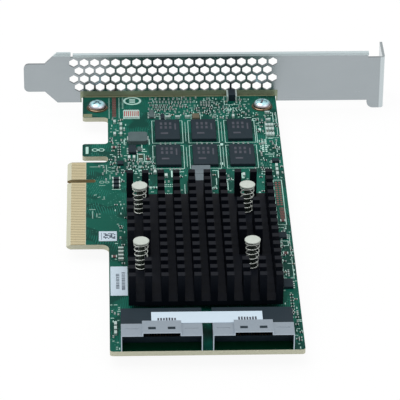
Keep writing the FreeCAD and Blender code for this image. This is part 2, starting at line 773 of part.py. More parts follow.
def make_socket(side, steps):
    left = f"(board_reach - socket_margin - socket_width - {steps} * socket_spacing)"
    middle = f"({left} + socket_width / 2)"
    rear = f"({SOCKET_EDGE} + socket_depth)"
    shell_rear = f"({SOCKET_EDGE} + shell_depth)"
    mouth = f"({SOCKET_EDGE} + mouth_depth)"

    shell = new_body(f"socket_shell_{side}")
    section = new_sketch(shell, f"shell_section_{side}", "XZ_Plane", f"-{SOCKET_EDGE}")
    outline(section, shell_section(left))
    pad(shell, f"shell_fold_{side}", section, "shell_depth", reverse=True)
    windows = new_sketch(shell, f"latch_windows_{side}", offset=f"{TOP} + socket_height + latch_rise")
    for sign in (-1, 1):
        x = f"({middle} + {sign} * window_spacing / 2)"
        y = f"({SOCKET_EDGE} + window_setback)"
        centred(windows, x, y, "window_width", "window_length")
    pocket(shell, f"latch_cuts_{side}", windows, "3 * shell_thick")
    seams = new_sketch(shell, f"roof_seams_{side}", offset=f"{TOP} + socket_height")
    for sign in (-1, 1):
        x = f"({middle} + {sign} * (socket_width + latch_width) / 4)"
        centred(seams, x, f"({SOCKET_EDGE} + seam_setback)", "seam_width", "seam_length")
    pocket(shell, f"roof_cuts_{side}", seams, "3 * shell_thick")

    housing = new_body(f"socket_housing_{side}")
    back = new_sketch(housing, f"housing_back_{side}", offset=TOP)
    rectangle(back, left, shell_rear, f"{left} + socket_width", rear)
    pad(housing, f"housing_rear_{side}", back, "socket_height")
    nose = new_sketch(housing, f"housing_nose_{side}", offset=TOP)
    rectangle(nose, f"{left} + shell_thick", mouth, f"{left} + socket_width - shell_thick", shell_rear)
    pad(housing, f"housing_front_{side}", nose, "socket_height - shell_thick")
    slot = new_sketch(housing, f"mating_slot_{side}", "XZ_Plane", f"-{mouth}")
    centred(slot, middle, f"({TOP} + slot_rise + slot_height / 2)", "slot_width", "slot_height")
    pocket(housing, f"mating_cut_{side}", slot, "slot_depth", side="One side", reverse=False)

    def rear_edge(point, direction):
        return near(point.y, rear) and near(point.z, f"{TOP} + socket_height") and abs(direction.x) > 1

    bevel_edges(housing, f"housing_chamfer_{side}", "housing_bevel", rear_edge)

    contacts = new_body(f"socket_contacts_{side}", separate=True)
    first = f"({middle} - {CONTACT_COUNT - 1} / 2 * contact_pitch)"
    for row, level in (("lower", "slot_rise"), ("upper", "slot_rise + slot_height - contact_thick")):
        sketch = new_sketch(contacts, f"{row}_contact_{side}", offset=f"{TOP} + {level}")
        inset = "(slot_depth - contact_width)"
        centred(sketch, first, f"({mouth} + slot_depth - {inset} / 2)", "contact_width", inset)
        single = pad(contacts, f"{row}_single_{side}", sketch, "contact_thick")
        repeat(contacts, f"{row}_contacts_{side}", single, "X_Axis", "contact_pitch", CONTACT_COUNT)


def make_sockets():
    for side, steps in SOCKETS.items():
        make_socket(side, steps)
    between = "(board_reach - socket_margin - socket_width / 2 - socket_spacing / 2)"
    y = f"({SOCKET_EDGE} + shell_depth + strip_length / 2)"
    keep(block("socket_label", (between, y), ("strip_width", "strip_length", "label_thick"),
               f"{TOP} + socket_height"))


# ---- components on the board ----

def make_chip(label, x, y, size):
    """A moulded chip package with its top edges bevelled."""
    body = new_body(label)
    footprint = new_sketch(body, f"{label}_outline", offset=TOP)
    centred(footprint, x, y, size[0], size[1])
    pad(body, f"{label}_block", footprint, size[2])
    top = f"{TOP} + {size[2]}"
    bevel_edges(body, f"{label}_bevel", "chip_bevel", lambda point, _: near(point.z, top))


def make_memory():
    for row in range(2):
        for column in range(3):
            x = f"(memory_x + {column} * memory_pitch_x)"
            y = f"(memory_y + {row} * memory_pitch_y)"
            size = ("memory_width", "memory_length", "memory_thick")
            make_chip(f"memory_chip_{3 * row + column + 1}", x, y, size)


def make_spur_chip():
    """A chip under the heat sink's spur, with a gap pad that fills the space between them."""
    x = "(sink_x + spur_offset + 0.4)"
    y = "(sink_y + sink_length / 2 + spur_length)"
    make_chip("voltage_chip", x, y, ("spur_chip_width", "spur_chip_length", "spur_chip_thick"))
    pad_floor = f"({TOP} + spur_chip_thick)"
    pad_size = ("spur_chip_width", "spur_chip_length", f"({BASE_BOTTOM} - {pad_floor})")
    keep(block("gap_pad", (x, y), pad_size, pad_floor))


def make_choke():
    body = new_body("power_inductor")
    footprint = new_sketch(body, "choke_outline", offset=TOP)
    centred(footprint, "choke_x", "choke_y", "choke_side", "choke_side")
    pad(body, "choke_block", footprint, "choke_height")
    bevel_edges(body, "choke_bevels", "choke_bevel", lambda _, direction: abs(direction.z) > 1)
    top = f"{TOP} + choke_height"
    bevel_edges(body, "choke_top_bevel", "chip_bevel", lambda point, _: near(point.z, top))
    feet = []
    for name, side in (("left", -1), ("right", 1)):
        x = f"(choke_x + {side} * (choke_side + choke_foot_thick) / 2)"
        size = ("choke_foot_thick", "choke_foot", "choke_height / 2")
        feet.append(block(f"choke_foot_{name}", (x, "choke_y"), size))
    group("inductor_terminals", feet)


def bank(label, size, rows):
    """Small parts in straight rows: the first one's place, the step between them, and how many."""
    length, width, height = size
    members = []
    for number, (x, y, step_x, step_y, count, turned) in enumerate(rows, start=1):
        footprint = (width, length) if turned else (length, width)
        for i in range(count):
            middle = (f"({x} + {i * step_x})", f"({y} + {i * step_y})")
            members.append(block(f"{label}_{number}_{i + 1}", middle, (*footprint, height)))
    return group(label, members)


def make_small_parts():
    far = "bracket_side"
    right_edge = "(board_reach - 2.3)"
    three_wide = "(board_reach - 4.1)"
    bank("ceramic_capacitors", ("cap_length", "cap_width", "cap_height"), [
        ("choke_x - 2.95", "choke_y - 12.4", 1.6, 0, 2, True),  # beside the regulator
        ("memory_x + 0.4", f"{far} - 15.8", 3.2, 0, 3, False),
        (three_wide, f"{far} - 22", 0.95, 0, 3, True),
        (three_wide, f"{far} - 24.8", 0.95, 0, 3, True),
        (three_wide, f"{far} - 28.2", 0.95, 0, 3, True),
        (right_edge, f"{far} - 49", 0, -2.6, 3, True),
        ("board_reach - 3.4", f"{far} - 13.2", 0, -5.2, 2, False),
        ("memory_x + 21.9", f"{far} - 15.6", 0, 0, 1, True),
        ("choke_x - 5.4", f"{far} - 20.7", 0, -3.2, 3, True),
        ("finger_reach + 2.2", f"{far} - 18.8", 0, -8.3, 2, True),
        ("choke_x + 5.2", "choke_y - 22", 3.45, -2.4, 2, True),
        ("memory_x + 23.6", "choke_y - 24.3", 0, 0, 1, True),
        ("finger_reach + 3.6", f"{SINK_NEAR} + 35", 0, -2.1, 4, False),
        ("board_reach - socket_spacing - 28", f"{SOCKET_EDGE} + 14", 0, -2.4, 3, True),
    ])
    row_gap = "memory_y + memory_pitch_y / 2"  # between the two rows of memory chips
    bank("chip_resistors", ("resistor_length", "resistor_width", "resistor_height"), [
        ("memory_x - 3.5", f"{far} - 2.75", 1.46, 0, 9, True),
        ("memory_x - 4.1", f"{far} - 4.95", 1.02, 0, 13, True),
        ("memory_x - 5", f"{far} - 7.2", 1.25, 0, 5, False),
        ("memory_x - 4", f"{far} - 8.6", 1.25, 0, 4, False),
        ("memory_x - 3.4", f"{far} - 10.1", 1.25, 0, 6, False),
        ("memory_x + 3.6", f"{far} - 7.6", 0.95, 0, 4, True),
        ("memory_x + 11.6", f"{far} - 5.2", 0.9, 0, 4, True),
        ("memory_x + 11.6", f"{far} - 7.1", 0.9, 0, 4, True),
        ("memory_x + 16", f"{far} - 12.2", 1.5, 0, 5, True),
        ("finger_reach + 6.5", f"{far} - 46.5", 1.5, 0, 5, True),
        ("finger_reach + 3.6", f"{far} - 34", 0, -1.6, 5, False),
        ("choke_x + 4.1", "choke_y - 20", 1.05, 0, 4, True),
        ("memory_x + 0.4", "choke_y - 20", 1.05, 0, 4, True),
        ("memory_x - 2.4", row_gap, 1.6, 0, 4, True),
        ("memory_x + memory_pitch_x - 2.4", row_gap, 1.6, 0, 4, True),
        ("memory_x + 2 * memory_pitch_x - 2.4", row_gap, 1.6, 0, 4, True),
        (right_edge, "pin_y - 28", 0, -1.6, 7, False),
    ])
    bank("resistor_arrays", ("resistor_width", "3.4 * cap_length", "resistor_height"), [
        ("finger_reach + 5.6", f"{far} - 13.1", 0.62, 0, 8, False),
    ])
    bank("sense_resistors", ("cap_length", "1.5 * cap_width", "resistor_height"), [
        ("finger_reach + 1.9", "choke_y - 5.1", 0, 0, 1, False),
        ("choke_x + 3.2", "choke_y - 13.1", 0, 0, 1, False),
        ("finger_reach + 1.6", "pin_y - 5", 0, 0, 1, False),
        ("board_reach - 2.3", "pin_y + 15.3", 0, 0, 1, False),
        ("board_reach - 2.6", "pin_y - 4.1", 0, 0, 1, False),
    ])
    bank("fuse_row", ("1.6 * cap_width", "cap_length", "resistor_height"), [
        ("finger_reach + 2.1", f"{far} - 2.4", 0, -1.7, 8, False),
    ])
    bank("signal_diodes", ("1.5 * cap_length", "1.7 * cap_width", "cap_height"), [
        ("finger_reach + 2.5", "key_width - 1.4", 0, -2.4, 3, False),
    ])
    bank("filter_capacitor", ("2.2 * cap_length", "1.6 * cap_width", "cap_height"), [
        ("choke_x + 0.75", "choke_y - 12.5", 0, 0, 1, True),
    ])


def make_small_chips():
    square = ("2 * cap_length", "2 * cap_length", "cap_height")
    make_chip("level_shifter", "(finger_reach + 14.4)", "(bracket_side - 13.7)",
              ("cap_length", "3 * cap_length", "cap_height"))
    make_chip("buffer_chip", "(finger_reach + 18)", "(bracket_side - 15.6)",
              ("0.8 * cap_length", "2 * cap_length", "cap_height"))
    make_chip("crystal", "(memory_x + 9.6)", "(bracket_side - 15.4)",
              ("1.5 * cap_length", "1.9 * cap_length", "cap_height"))
    make_chip("regulator_chip", "(choke_x - 1.85)", "(choke_y - 7.35)",
              ("1.6 * cap_length", "3.05 * cap_length", "1.25 * cap_height"))
    make_chip("gate_driver", "(choke_x + 0.45)", "(choke_y - 6.6)",
              ("0.8 * cap_length", "1.6 * cap_length", "0.7 * cap_height"))
    make_chip("clock_chip", "(finger_reach + 3.9)", "(choke_y - 16)",
              ("1.2 * cap_length", "1.4 * cap_length", "cap_height"))
    make_chip("sensor_chip", "(board_reach - 2.4)", "(memory_y - 3.5)",
              ("1.4 * cap_length", "1.25 * cap_length", "cap_height"))
    make_chip("monitor_chip", "(board_reach - 3.3)", "(pin_y + 6)", square)
    make_chip("flash_chip", "(board_reach - 2.9)", "(pin_y - 21.9)",
              ("1.8 * cap_length", "3 * cap_length", "cap_height"))


def make_indicator():
    x, y = "(board_reach - led_inset)", "(bracket_side - led_length / 2)"
    keep(block("indicator_led", (x, y), ("led_width", "led_length", "led_height")))
    sides = []
    for name, side in (("left", -1), ("right", 1)):
        edge = f"({x} + {side} * (led_width + led_side) / 2)"
        size = ("led_side", "led_length", "led_height * 0.8")
        sides.append(block(f"led_terminal_{name}", (edge, y), size))
    group("led_terminals", sides)


def make_labels():
    for name in ("barcode", "code"):
        size = (f"{name}_width", f"{name}_length", "label_thick")
        keep(block(f"{name}_label", (f"{name}_x", f"{name}_y"), size))


# ---- build, check and export ----

def check_document():
    for thing in doc.Objects:
        if {"Invalid", "Error"} & set(thing.State):
            raise RuntimeError(f"{thing.Name} failed: {thing.State}")
    for cut in doc.findObjects("PartDesign::Pocket"):
        removed = cut.BaseFeature.Shape.Volume - cut.Shape.Volume
        if removed <= 0:
            raise RuntimeError(f"{cut.Name} removes nothing")
    for thing in parts:
        if thing.Shape.isNull() or not thing.Shape.isValid():
            raise RuntimeError(f"{thing.Name} has no valid shape")


make_board()
make_fingers()
make_bracket()
make_screws()
make_controller()
make_heat_sink()
make_push_pins()
make_sockets()
make_memory()
make_spur_chip()
make_choke()
make_small_parts()
make_small_chips()
make_indicator()
make_labels()
doc.recompute()
check_document()

os.makedirs("parts", exist_ok=True)
for thing in parts:
    thing.Shape.exportStep(f"parts/{thing.Label}.step")
    print(f"{thing.Label}: {len(thing.Shape.Solids)} solid(s), {thing.Shape.Volume:.2f} mm3")
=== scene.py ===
import json
import math
import random

import bpy
from mathutils import Euler, Matrix, Vector


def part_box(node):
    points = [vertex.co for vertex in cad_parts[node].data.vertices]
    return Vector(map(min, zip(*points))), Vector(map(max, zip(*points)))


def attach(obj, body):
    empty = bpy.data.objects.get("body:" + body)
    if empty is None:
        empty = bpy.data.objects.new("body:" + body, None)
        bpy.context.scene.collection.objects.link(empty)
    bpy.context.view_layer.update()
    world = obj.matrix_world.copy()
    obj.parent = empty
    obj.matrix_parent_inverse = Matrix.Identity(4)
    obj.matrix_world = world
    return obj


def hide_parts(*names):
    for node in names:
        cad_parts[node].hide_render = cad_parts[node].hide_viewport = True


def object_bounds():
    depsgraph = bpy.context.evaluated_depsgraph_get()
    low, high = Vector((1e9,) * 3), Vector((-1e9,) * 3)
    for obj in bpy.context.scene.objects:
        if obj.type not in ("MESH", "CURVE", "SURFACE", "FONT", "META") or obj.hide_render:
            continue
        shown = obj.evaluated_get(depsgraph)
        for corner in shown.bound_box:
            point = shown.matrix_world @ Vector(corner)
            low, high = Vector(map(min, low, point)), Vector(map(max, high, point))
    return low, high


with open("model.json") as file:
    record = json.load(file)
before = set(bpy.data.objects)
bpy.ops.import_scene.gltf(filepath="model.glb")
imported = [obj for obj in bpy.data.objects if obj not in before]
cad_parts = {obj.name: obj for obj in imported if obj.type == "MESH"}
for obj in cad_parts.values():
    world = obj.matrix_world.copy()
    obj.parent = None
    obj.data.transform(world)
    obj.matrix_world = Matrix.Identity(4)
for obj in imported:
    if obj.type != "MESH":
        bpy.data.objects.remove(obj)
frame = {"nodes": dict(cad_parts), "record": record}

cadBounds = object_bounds()  # the box of the CAD model, before anything is added
mm = 0.001
mergeDistance = 0.001 * mm
nodes = frame["nodes"]
boardLow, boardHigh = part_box("circuit_board")
boardTop = boardHigh.z


# small helpers for working as by hand

def deselectAll():
    if bpy.context.mode != "OBJECT":
        bpy.ops.object.mode_set(mode="OBJECT")
    bpy.ops.object.select_all(action="DESELECT")


def activeOnly(piece):
    deselectAll()
    piece.select_set(True)
    bpy.context.view_layer.objects.active = piece


def applyPlace(piece):
    activeOnly(piece)
    bpy.ops.object.transform_apply(location=True, rotation=True, scale=True)


def applyModifiers(piece):
    activeOnly(piece)
    for modifier in list(piece.modifiers):
        bpy.ops.object.modifier_apply(modifier=modifier.name)


def softenEdges(piece, width, segments=1):
    bevel = piece.modifiers.new("softEdges", "BEVEL")
    bevel.width, bevel.segments = width, segments
    applyModifiers(piece)


def editAll():
    bpy.ops.object.mode_set(mode="EDIT")
    bpy.ops.mesh.select_all(action="SELECT")


def leaveEdit():
    bpy.ops.object.mode_set(mode="OBJECT")


def selectFaces(piece, test):
    # selects in edit mode the faces that the test accepts by centre and normal
    leaveEdit()
    for corner in (*piece.data.vertices, *piece.data.edges):
        corner.select = False
    for face in piece.data.polygons:
        face.select = test(face.center, face.normal)
    bpy.ops.object.mode_set(mode="EDIT")
    bpy.ops.mesh.select_mode(type="FACE")


def paintFaces(piece, test):
    # the faces that the test accepts get the second material
    selectFaces(piece, test)
    piece.active_material_index = 1
    bpy.ops.object.material_slot_assign()
    leaveEdit()


def joinPieces(pieces, name):
    activeOnly(pieces[0])
    for piece in pieces:
        piece.select_set(True)
    if len(pieces) > 1:
        bpy.ops.object.join()
    joined = bpy.context.view_layer.objects.active
    joined.name = name
    joined.data.name = name
    applyPlace(joined)
    return joined


def copyPiece(piece, place, turn=0):
    twin = piece.copy()
    twin.data = piece.data.copy()
    bpy.context.collection.objects.link(twin)
    twin.location = Vector(place)
    twin.rotation_euler = (0, 0, turn)
    return twin


def dropPiece(piece):
    bpy.data.objects.remove(piece, do_unlink=True)


def paint(piece, *materials):
    piece.data.materials.clear()
    for material in materials:
        piece.data.materials.append(material)


def finishPiece(piece, slotName, *replaced):
    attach(piece, "root")
    if replaced:
        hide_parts(*replaced)


def copyNode(nodeName):
    # a merged copy of a CAD node, all selected in edit mode
    twin = copyPiece(nodes[nodeName], (0, 0, 0))
    twin.parent = None
    activeOnly(twin)
    editAll()
    bpy.ops.mesh.remove_doubles(threshold=mergeDistance)
    return twin


def looseBoxes(nodeName):
    # the box of each separate solid in a CAD node
    copyNode(nodeName)
    bpy.ops.mesh.separate(type="LOOSE")
    leaveEdit()
    boxes = []
    for solid in list(bpy.context.selected_objects):
        corners = [vertex.co for vertex in solid.data.vertices]
        low = Vector(min(corner[axis] for corner in corners) for axis in range(3))
        high = Vector(max(corner[axis] for corner in corners) for axis in range(3))
        boxes.append((low, high))
        dropPiece(solid)
    return sorted(boxes, key=lambda ends: tuple(round(number, 5) for number in ends[0]))


# shader groups shared by several materials

def newGroup(name, inputs, outputs):
    group = bpy.data.node_groups.new(name, "ShaderNodeTree")
    for way, sockets in (("INPUT", inputs), ("OUTPUT", outputs)):
        for socketName, kind in sockets:
            group.interface.new_socket(name=socketName, in_out=way, socket_type="NodeSocket" + kind)
    entry = group.nodes.new("NodeGroupInput")
    leave = group.nodes.new("NodeGroupOutput")
    return group, entry.outputs, leave.inputs


def wire(tree, source, socket):
    # the source is a plain value or another node's output
    if isinstance(source, (int, float, tuple)):
        socket.default_value = source
    else:
        tree.links.new(source, socket)


def mathNode(tree, operation, first, second=None, clamp=False):
    node = tree.nodes.new("ShaderNodeMath")
    node.operation = operation
    node.use_clamp = clamp
    wire(tree, first, node.inputs[0])
    if second is not None:
        wire(tree, second, node.inputs[1])
    return node.outputs[0]


def plus(tree, first, second):
    return mathNode(tree, "ADD", first, second)


def minus(tree, first, second):
    return mathNode(tree, "SUBTRACT", first, second)


def times(tree, first, second):
    return mathNode(tree, "MULTIPLY", first, second)


def above(tree, value, limit):
    return mathNode(tree, "GREATER_THAN", value, limit)


def below(tree, value, limit):
    return mathNode(tree, "LESS_THAN", value, limit)


def between(tree, value, low, high):
    # 1 where the value lies between two limits
    return times(tree, above(tree, value, low), below(tree, value, high))


def ramp(tree, value, start, gain):
    # 0 up to the start, and from there up to 1
    return mathNode(tree, "MULTIPLY", minus(tree, value, start), gain, clamp=True)


def mixColour(tree, share, first, second):
    node = tree.nodes.new("ShaderNodeMix")
    node.data_type = "RGBA"
    for number, source in ((0, share), (6, first), (7, second)):
        wire(tree, source, node.inputs[number])
    return node.outputs[2]


def objectPoint(tree):
    return tree.nodes.new("ShaderNodeTexCoord").outputs["Object"]


def splitPoint(tree, source):
    split = tree.nodes.new("ShaderNodeSeparateXYZ")
    wire(tree, source, split.inputs[0])
    return split.outputs


def noiseNode(tree, point, scale, detail=2.0, roughness=0.5):
    node = tree.nodes.new("ShaderNodeTexNoise")
    node.inputs["Detail"].default_value = detail
    node.inputs["Roughness"].default_value = roughness
    wire(tree, point, node.inputs["Vector"])
    wire(tree, scale, node.inputs["Scale"])
    return node.outputs["Fac"]


def addBump(tree, height, distance, strength, normal):
    bump = tree.nodes.new("ShaderNodeBump")
    bump.inputs["Distance"].default_value = distance
    wire(tree, strength, bump.inputs["Strength"])
    wire(tree, height, bump.inputs["Height"])
    wire(tree, bump.outputs[0], normal)


grainForm = {
    "broadScale": 0.13,  # of the broad noise, as a share of the fine one's
    "shares": (0.55, 0.45),  # of the fine and the broad noise
    "contrast": (0.3, 2.5),
    "relief": 0.02 * mm,
}


def makeGrainGroup():
    # two tones mixed by a noise, which also drives the roughness and a shallow relief
    inputs = [
        ("Tone", "Color"), ("Other Tone", "Color"), ("Scale", "Float"),
        ("Least Roughness", "Float"), ("Most Roughness", "Float"), ("Relief", "Float"),
    ]
    outputs = [("Color", "Color"), ("Roughness", "Float"), ("Normal", "Vector")]
    group, given, made = newGroup("surfaceGrain", inputs, outputs)
    form = grainForm
    point = objectPoint(group)
    fine = noiseNode(group, point, given["Scale"], 3.0, 0.6)
    broad = noiseNode(group, point, times(group, given["Scale"], form["broadScale"]), 2.0)
    both = plus(group, times(group, fine, form["shares"][0]), times(group, broad, form["shares"][1]))
    share = ramp(group, both, *form["contrast"])
    wire(group, mixColour(group, share, given["Tone"], given["Other Tone"]), made["Color"])
    spread = minus(group, given["Most Roughness"], given["Least Roughness"])
    wire(group, plus(group, given["Least Roughness"], times(group, spread, share)), made["Roughness"])
    addBump(group, fine, form["relief"], given["Relief"], made["Normal"])
    return group


grainGroup = makeGrainGroup()


def rgba(colour):
    return (*colour, 1.0)


def newMaterial(name, metallic=0.0, specular=0.5):
    material = bpy.data.materials.new(name)
    material.use_nodes = True
    tree = material.node_tree
    sockets = tree.nodes["Principled BSDF"].inputs
    sockets["Metallic"].default_value = metallic
    sockets["Specular IOR Level"].default_value = specular
    return material, tree, sockets


def addGrain(tree, tone, otherTone, scale, roughness, relief):
    grain = tree.nodes.new("ShaderNodeGroup")
    grain.node_tree = grainGroup
    # in the order of the group's own inputs
    for socket, value in zip(grain.inputs, (rgba(tone), rgba(otherTone), scale, *roughness, relief)):
        socket.default_value = value
    return grain.outputs


def grainedMaterial(name, tone, otherTone, scale, roughness, relief, metallic, specular):
    material, tree, sockets = newMaterial(name, metallic, specular)
    grain = addGrain(tree, tone, otherTone, scale, roughness, relief)
    wire(tree, grain["Color"], sockets["Base Color"])
    wire(tree, grain["Roughness"], sockets["Roughness"])
    wire(tree, grain["Normal"], sockets["Normal"])
    return material


# solder mask over copper, with bare laminate at the edges and under the fingers

boardLook = {
    "mask": (0.001, 0.052, 0.038),
    "maskOverCopper": (0.002, 0.092, 0.064),
    "trace": (0.008, 0.150, 0.110),
    "via": (0.06, 0.24, 0.18),
    "laminate": (0.62, 0.62, 0.48),
    "weaveShade": 0.8,
    # painted shade on the board inside the two sockets
    "paintedSocketShade": (0.001, 0.028, 0.013),
    "betweenContacts": (0.25, 0.215, 0.115),
    # painted shade on the walls of the key slot
    "paintedSlotShade": (0.27, 0.21, 0.11),
    "keySlot": (9.1 * mm, 1.0 * mm),  # reach and half width, a little over the real slot
    "slotLevel": boardTop - 0.05 * mm,
    "pourRamp": (0.47, 18.0),
    "tracePitch": 0.62 * mm,
    "traceShare": 0.34,
    "traceBend": 9 * mm,
    "bundleRamp": (0.52, 12.0),
    "viaPitch": 1.5 * mm,
    "viaSpread": 0.75,
    "viaRing": (0.05, 0.12),  # inner and outer radius, as shares of the pitch
    "clusterStart": 0.56,
    "fingerReach": 5.95 * mm,
    "fingerSide": 13 * mm,
    "scales": {"pour": 95.0, "bend": 45.0, "bundle": 140.0, "cluster": 170.0, "weave": 2600.0},
    "roughness": (0.27, 0.3, 0.12),  # of the mask, and what laminate and copper add
    "relief": (0.03 * mm, 0.5),
}


def makeBoardMaterial():
    material, tree, sockets = newMaterial("solderMask", specular=0.08)
    look = boardLook
    scales = look["scales"]
    coordinates = tree.nodes.new("ShaderNodeTexCoord")
    point = coordinates.outputs["Object"]
    x, y, z = splitPoint(tree, point)
    # copper pours: large soft-edged islands
    pour = noiseNode(tree, point, scales["pour"], 1.0)
    pourShare = ramp(tree, pour, *look["pourRamp"])
    colour = mixColour(tree, pourShare, rgba(look["mask"]), rgba(look["maskOverCopper"]))
    # traces: bundles of thin lines that bend with a slow noise
    shifted = plus(tree, x, times(tree, noiseNode(tree, point, scales["bend"], 0.0), look["traceBend"]))
    stripe = mathNode(tree, "FRACT", mathNode(tree, "DIVIDE", shifted, look["tracePitch"]))
    line = below(tree, stripe, look["traceShare"])
    bundle = noiseNode(tree, point, scales["bundle"], 1.0)
    lineShare = times(tree, line, ramp(tree, bundle, *look["bundleRamp"]))
    colour = mixColour(tree, lineShare, colour, rgba(look["trace"]))
    # vias: small pale rings in loose clusters
    cells = tree.nodes.new("ShaderNodeTexVoronoi")
    cells.voronoi_dimensions = "2D"
    cells.inputs["Scale"].default_value = 1 / look["viaPitch"]
    cells.inputs["Randomness"].default_value = look["viaSpread"]
    wire(tree, point, cells.inputs["Vector"])
    ring = between(tree, cells.outputs["Distance"], *look["viaRing"])
    cluster = above(tree, noiseNode(tree, point, scales["cluster"], 1.0), look["clusterStart"])
    colour = mixColour(tree, times(tree, ring, cluster), colour, rgba(look["via"]))
    # painted shade: darker inside the two sockets
    for side in ("left", "right"):
        low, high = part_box("socket_shell_" + side)
        inside = times(tree, between(tree, x, low.x, high.x), below(tree, y, high.y))
        colour = mixColour(tree, inside, colour, rgba(look["paintedSocketShade"]))
    # bare laminate on the cut edges and round the fingers
    upright = mathNode(tree, "ABSOLUTE", splitPoint(tree, coordinates.outputs["Normal"])[2])
    edge = below(tree, upright, 0.98)
    fingers = times(tree, below(tree, x, look["fingerReach"]), below(tree, y, look["fingerSide"]))
    bare = mathNode(tree, "MAXIMUM", edge, fingers)
    weave = noiseNode(tree, point, scales["weave"], 2.0)
    shaded = tuple(look["weaveShade"] * part for part in look["laminate"])
    bareTone = mixColour(tree, weave, rgba(look["laminate"]), rgba(shaded))
    # darker between the contacts, and painted shade in the key slot
    low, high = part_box("edge_contacts")
    among = times(tree, between(tree, x, low.x, high.x), above(tree, upright, 0.99))
    bareTone = mixColour(tree, among, bareTone, rgba(look["betweenContacts"]))
    slotReach, slotHalf = look["keySlot"]
    slotShade = below(tree, mathNode(tree, "ABSOLUTE", y), slotHalf)
    slotShade = times(tree, slotShade, between(tree, x, 0, slotReach))
    slotShade = times(tree, slotShade, below(tree, z, look["slotLevel"]))
    bareTone = mixColour(tree, slotShade, bareTone, rgba(look["paintedSlotShade"]))
    wire(tree, mixColour(tree, bare, colour, bareTone), sockets["Base Color"])
    least, bareRough, pourRough = look["roughness"]
    rough = plus(tree, plus(tree, least, times(tree, bare, bareRough)), times(tree, pour, pourRough))
    wire(tree, rough, sockets["Roughness"])
    addBump(tree, plus(tree, lineShare, pourShare), *look["relief"], sockets["Normal"])
    return material


# brushed sheet: streaks along the length of the bracket

bracketLook = {
    "tones": ((0.33, 0.37, 0.39), (0.42, 0.46, 0.48)),
    "stretch": (0.06, 1.0, 1.0),
    "lip": (0.54, 0.63, 0.65),  # the narrow top lip is matt, with a painted highlight that makes it paler
    "lipDepth": 1.3 * mm,
    # painted highlight on the flange at the far end
    "flange": (0.56, 0.62, 0.64),
    "flangeDepth": 1.5 * mm,
    "inner": (0.29, 0.34, 0.23),  # along the board its inner face is dull, with painted olive shade
    "innerProud": 0.65 * mm,
    "innerLevels": (boardLow.z - 3 * mm, boardTop + 1.75 * mm),
    "innerReach": (3.9 * mm, boardHigh.x + 0.8 * mm),
    "dull": (0.8, 0.7),  # how much less metallic the lip and the inner face are
    "roughness": (0.17, 0.14),
    "relief": (0.004 * mm, 0.5),
}


def makeBracketMaterial():
    material, tree, sockets = newMaterial("platedSheet", metallic=1.0)
    look = bracketLook
    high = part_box("bracket")[1]
    point = objectPoint(tree)
    mapping = tree.nodes.new("ShaderNodeMapping")
    mapping.inputs["Scale"].default_value = look["stretch"]
    wire(tree, point, mapping.inputs["Vector"])
    streak = noiseNode(tree, mapping.outputs[0], 3200.0, 3.0, 0.6)
    cloud = noiseNode(tree, point, 70.0, 2.0)
    tone = plus(tree, times(tree, streak, 0.5), times(tree, cloud, 0.5))
    colour = mixColour(tree, tone, rgba(look["tones"][0]), rgba(look["tones"][1]))
    x, y, z = splitPoint(tree, point)
    # painted highlight on the top lip
    lip = above(tree, z, high.z - look["lipDepth"])
    colour = mixColour(tree, lip, colour, rgba(look["lip"]))
    # painted highlight on the flange at the far end
    flange = above(tree, x, high.x - look["flangeDepth"])
    colour = mixColour(tree, flange, colour, rgba(look["flange"]))
    # painted olive shade on the inner face along the board
    inner = below(tree, y, boardHigh.y + look["innerProud"])
    inner = times(tree, inner, between(tree, z, *look["innerLevels"]))
    inner = times(tree, inner, between(tree, x, *look["innerReach"]))
    wire(tree, mixColour(tree, inner, colour, rgba(look["inner"])), sockets["Base Color"])
    dull = plus(tree, times(tree, lip, look["dull"][0]), times(tree, inner, look["dull"][1]))
    wire(tree, minus(tree, 1.0, dull), sockets["Metallic"])
    least, spread = look["roughness"]
    wire(tree, plus(tree, least, times(tree, streak, spread)), sockets["Roughness"])
    addBump(tree, streak, *look["relief"], sockets["Normal"])
    return material


# a screw's head, coloured by height: brown round the rim as painted shade and reflection of the copper pad, white
# above it and bluish on the crown

screwLook = {
    "bright": ((0.86, 0.84, 0.92), (0.70, 0.68, 0.78)),
    # painted shade and reflection of the copper pad, round the rim
    "rim": (0.27, 0.19, 0.13),
    "crown": (0.52, 0.86, 0.92),
    "rimRamp": (0.72, 1.3),  # where it starts, in mm above the board, and how fast it goes
    "crownRamp": (1.35, 1.8),
    "crownDull": 0.55,
}


def makeScrewMaterial():
    material, tree, sockets = newMaterial("platedScrew", metallic=1.0)
    look = screwLook
    grain = addGrain(tree, *look["bright"], 900.0, (0.12, 0.24), 0.1)
    z = splitPoint(tree, objectPoint(tree))[2]
    rise = mathNode(tree, "DIVIDE", minus(tree, z, boardTop), mm)
    crown = ramp(tree, rise, *look["crownRamp"])
    # painted shade and reflection of the copper pad: brown round the rim
    colour = mixColour(tree, ramp(tree, rise, *look["rimRamp"]), rgba(look["rim"]), grain["Color"])
    wire(tree, mixColour(tree, crown, colour, rgba(look["crown"])), sockets["Base Color"])
    wire(tree, minus(tree, 1.0, times(tree, crown, look["crownDull"])), sockets["Metallic"])
    wire(tree, grain["Roughness"], sockets["Roughness"])
    wire(tree, grain["Normal"], sockets["Normal"])
    return material


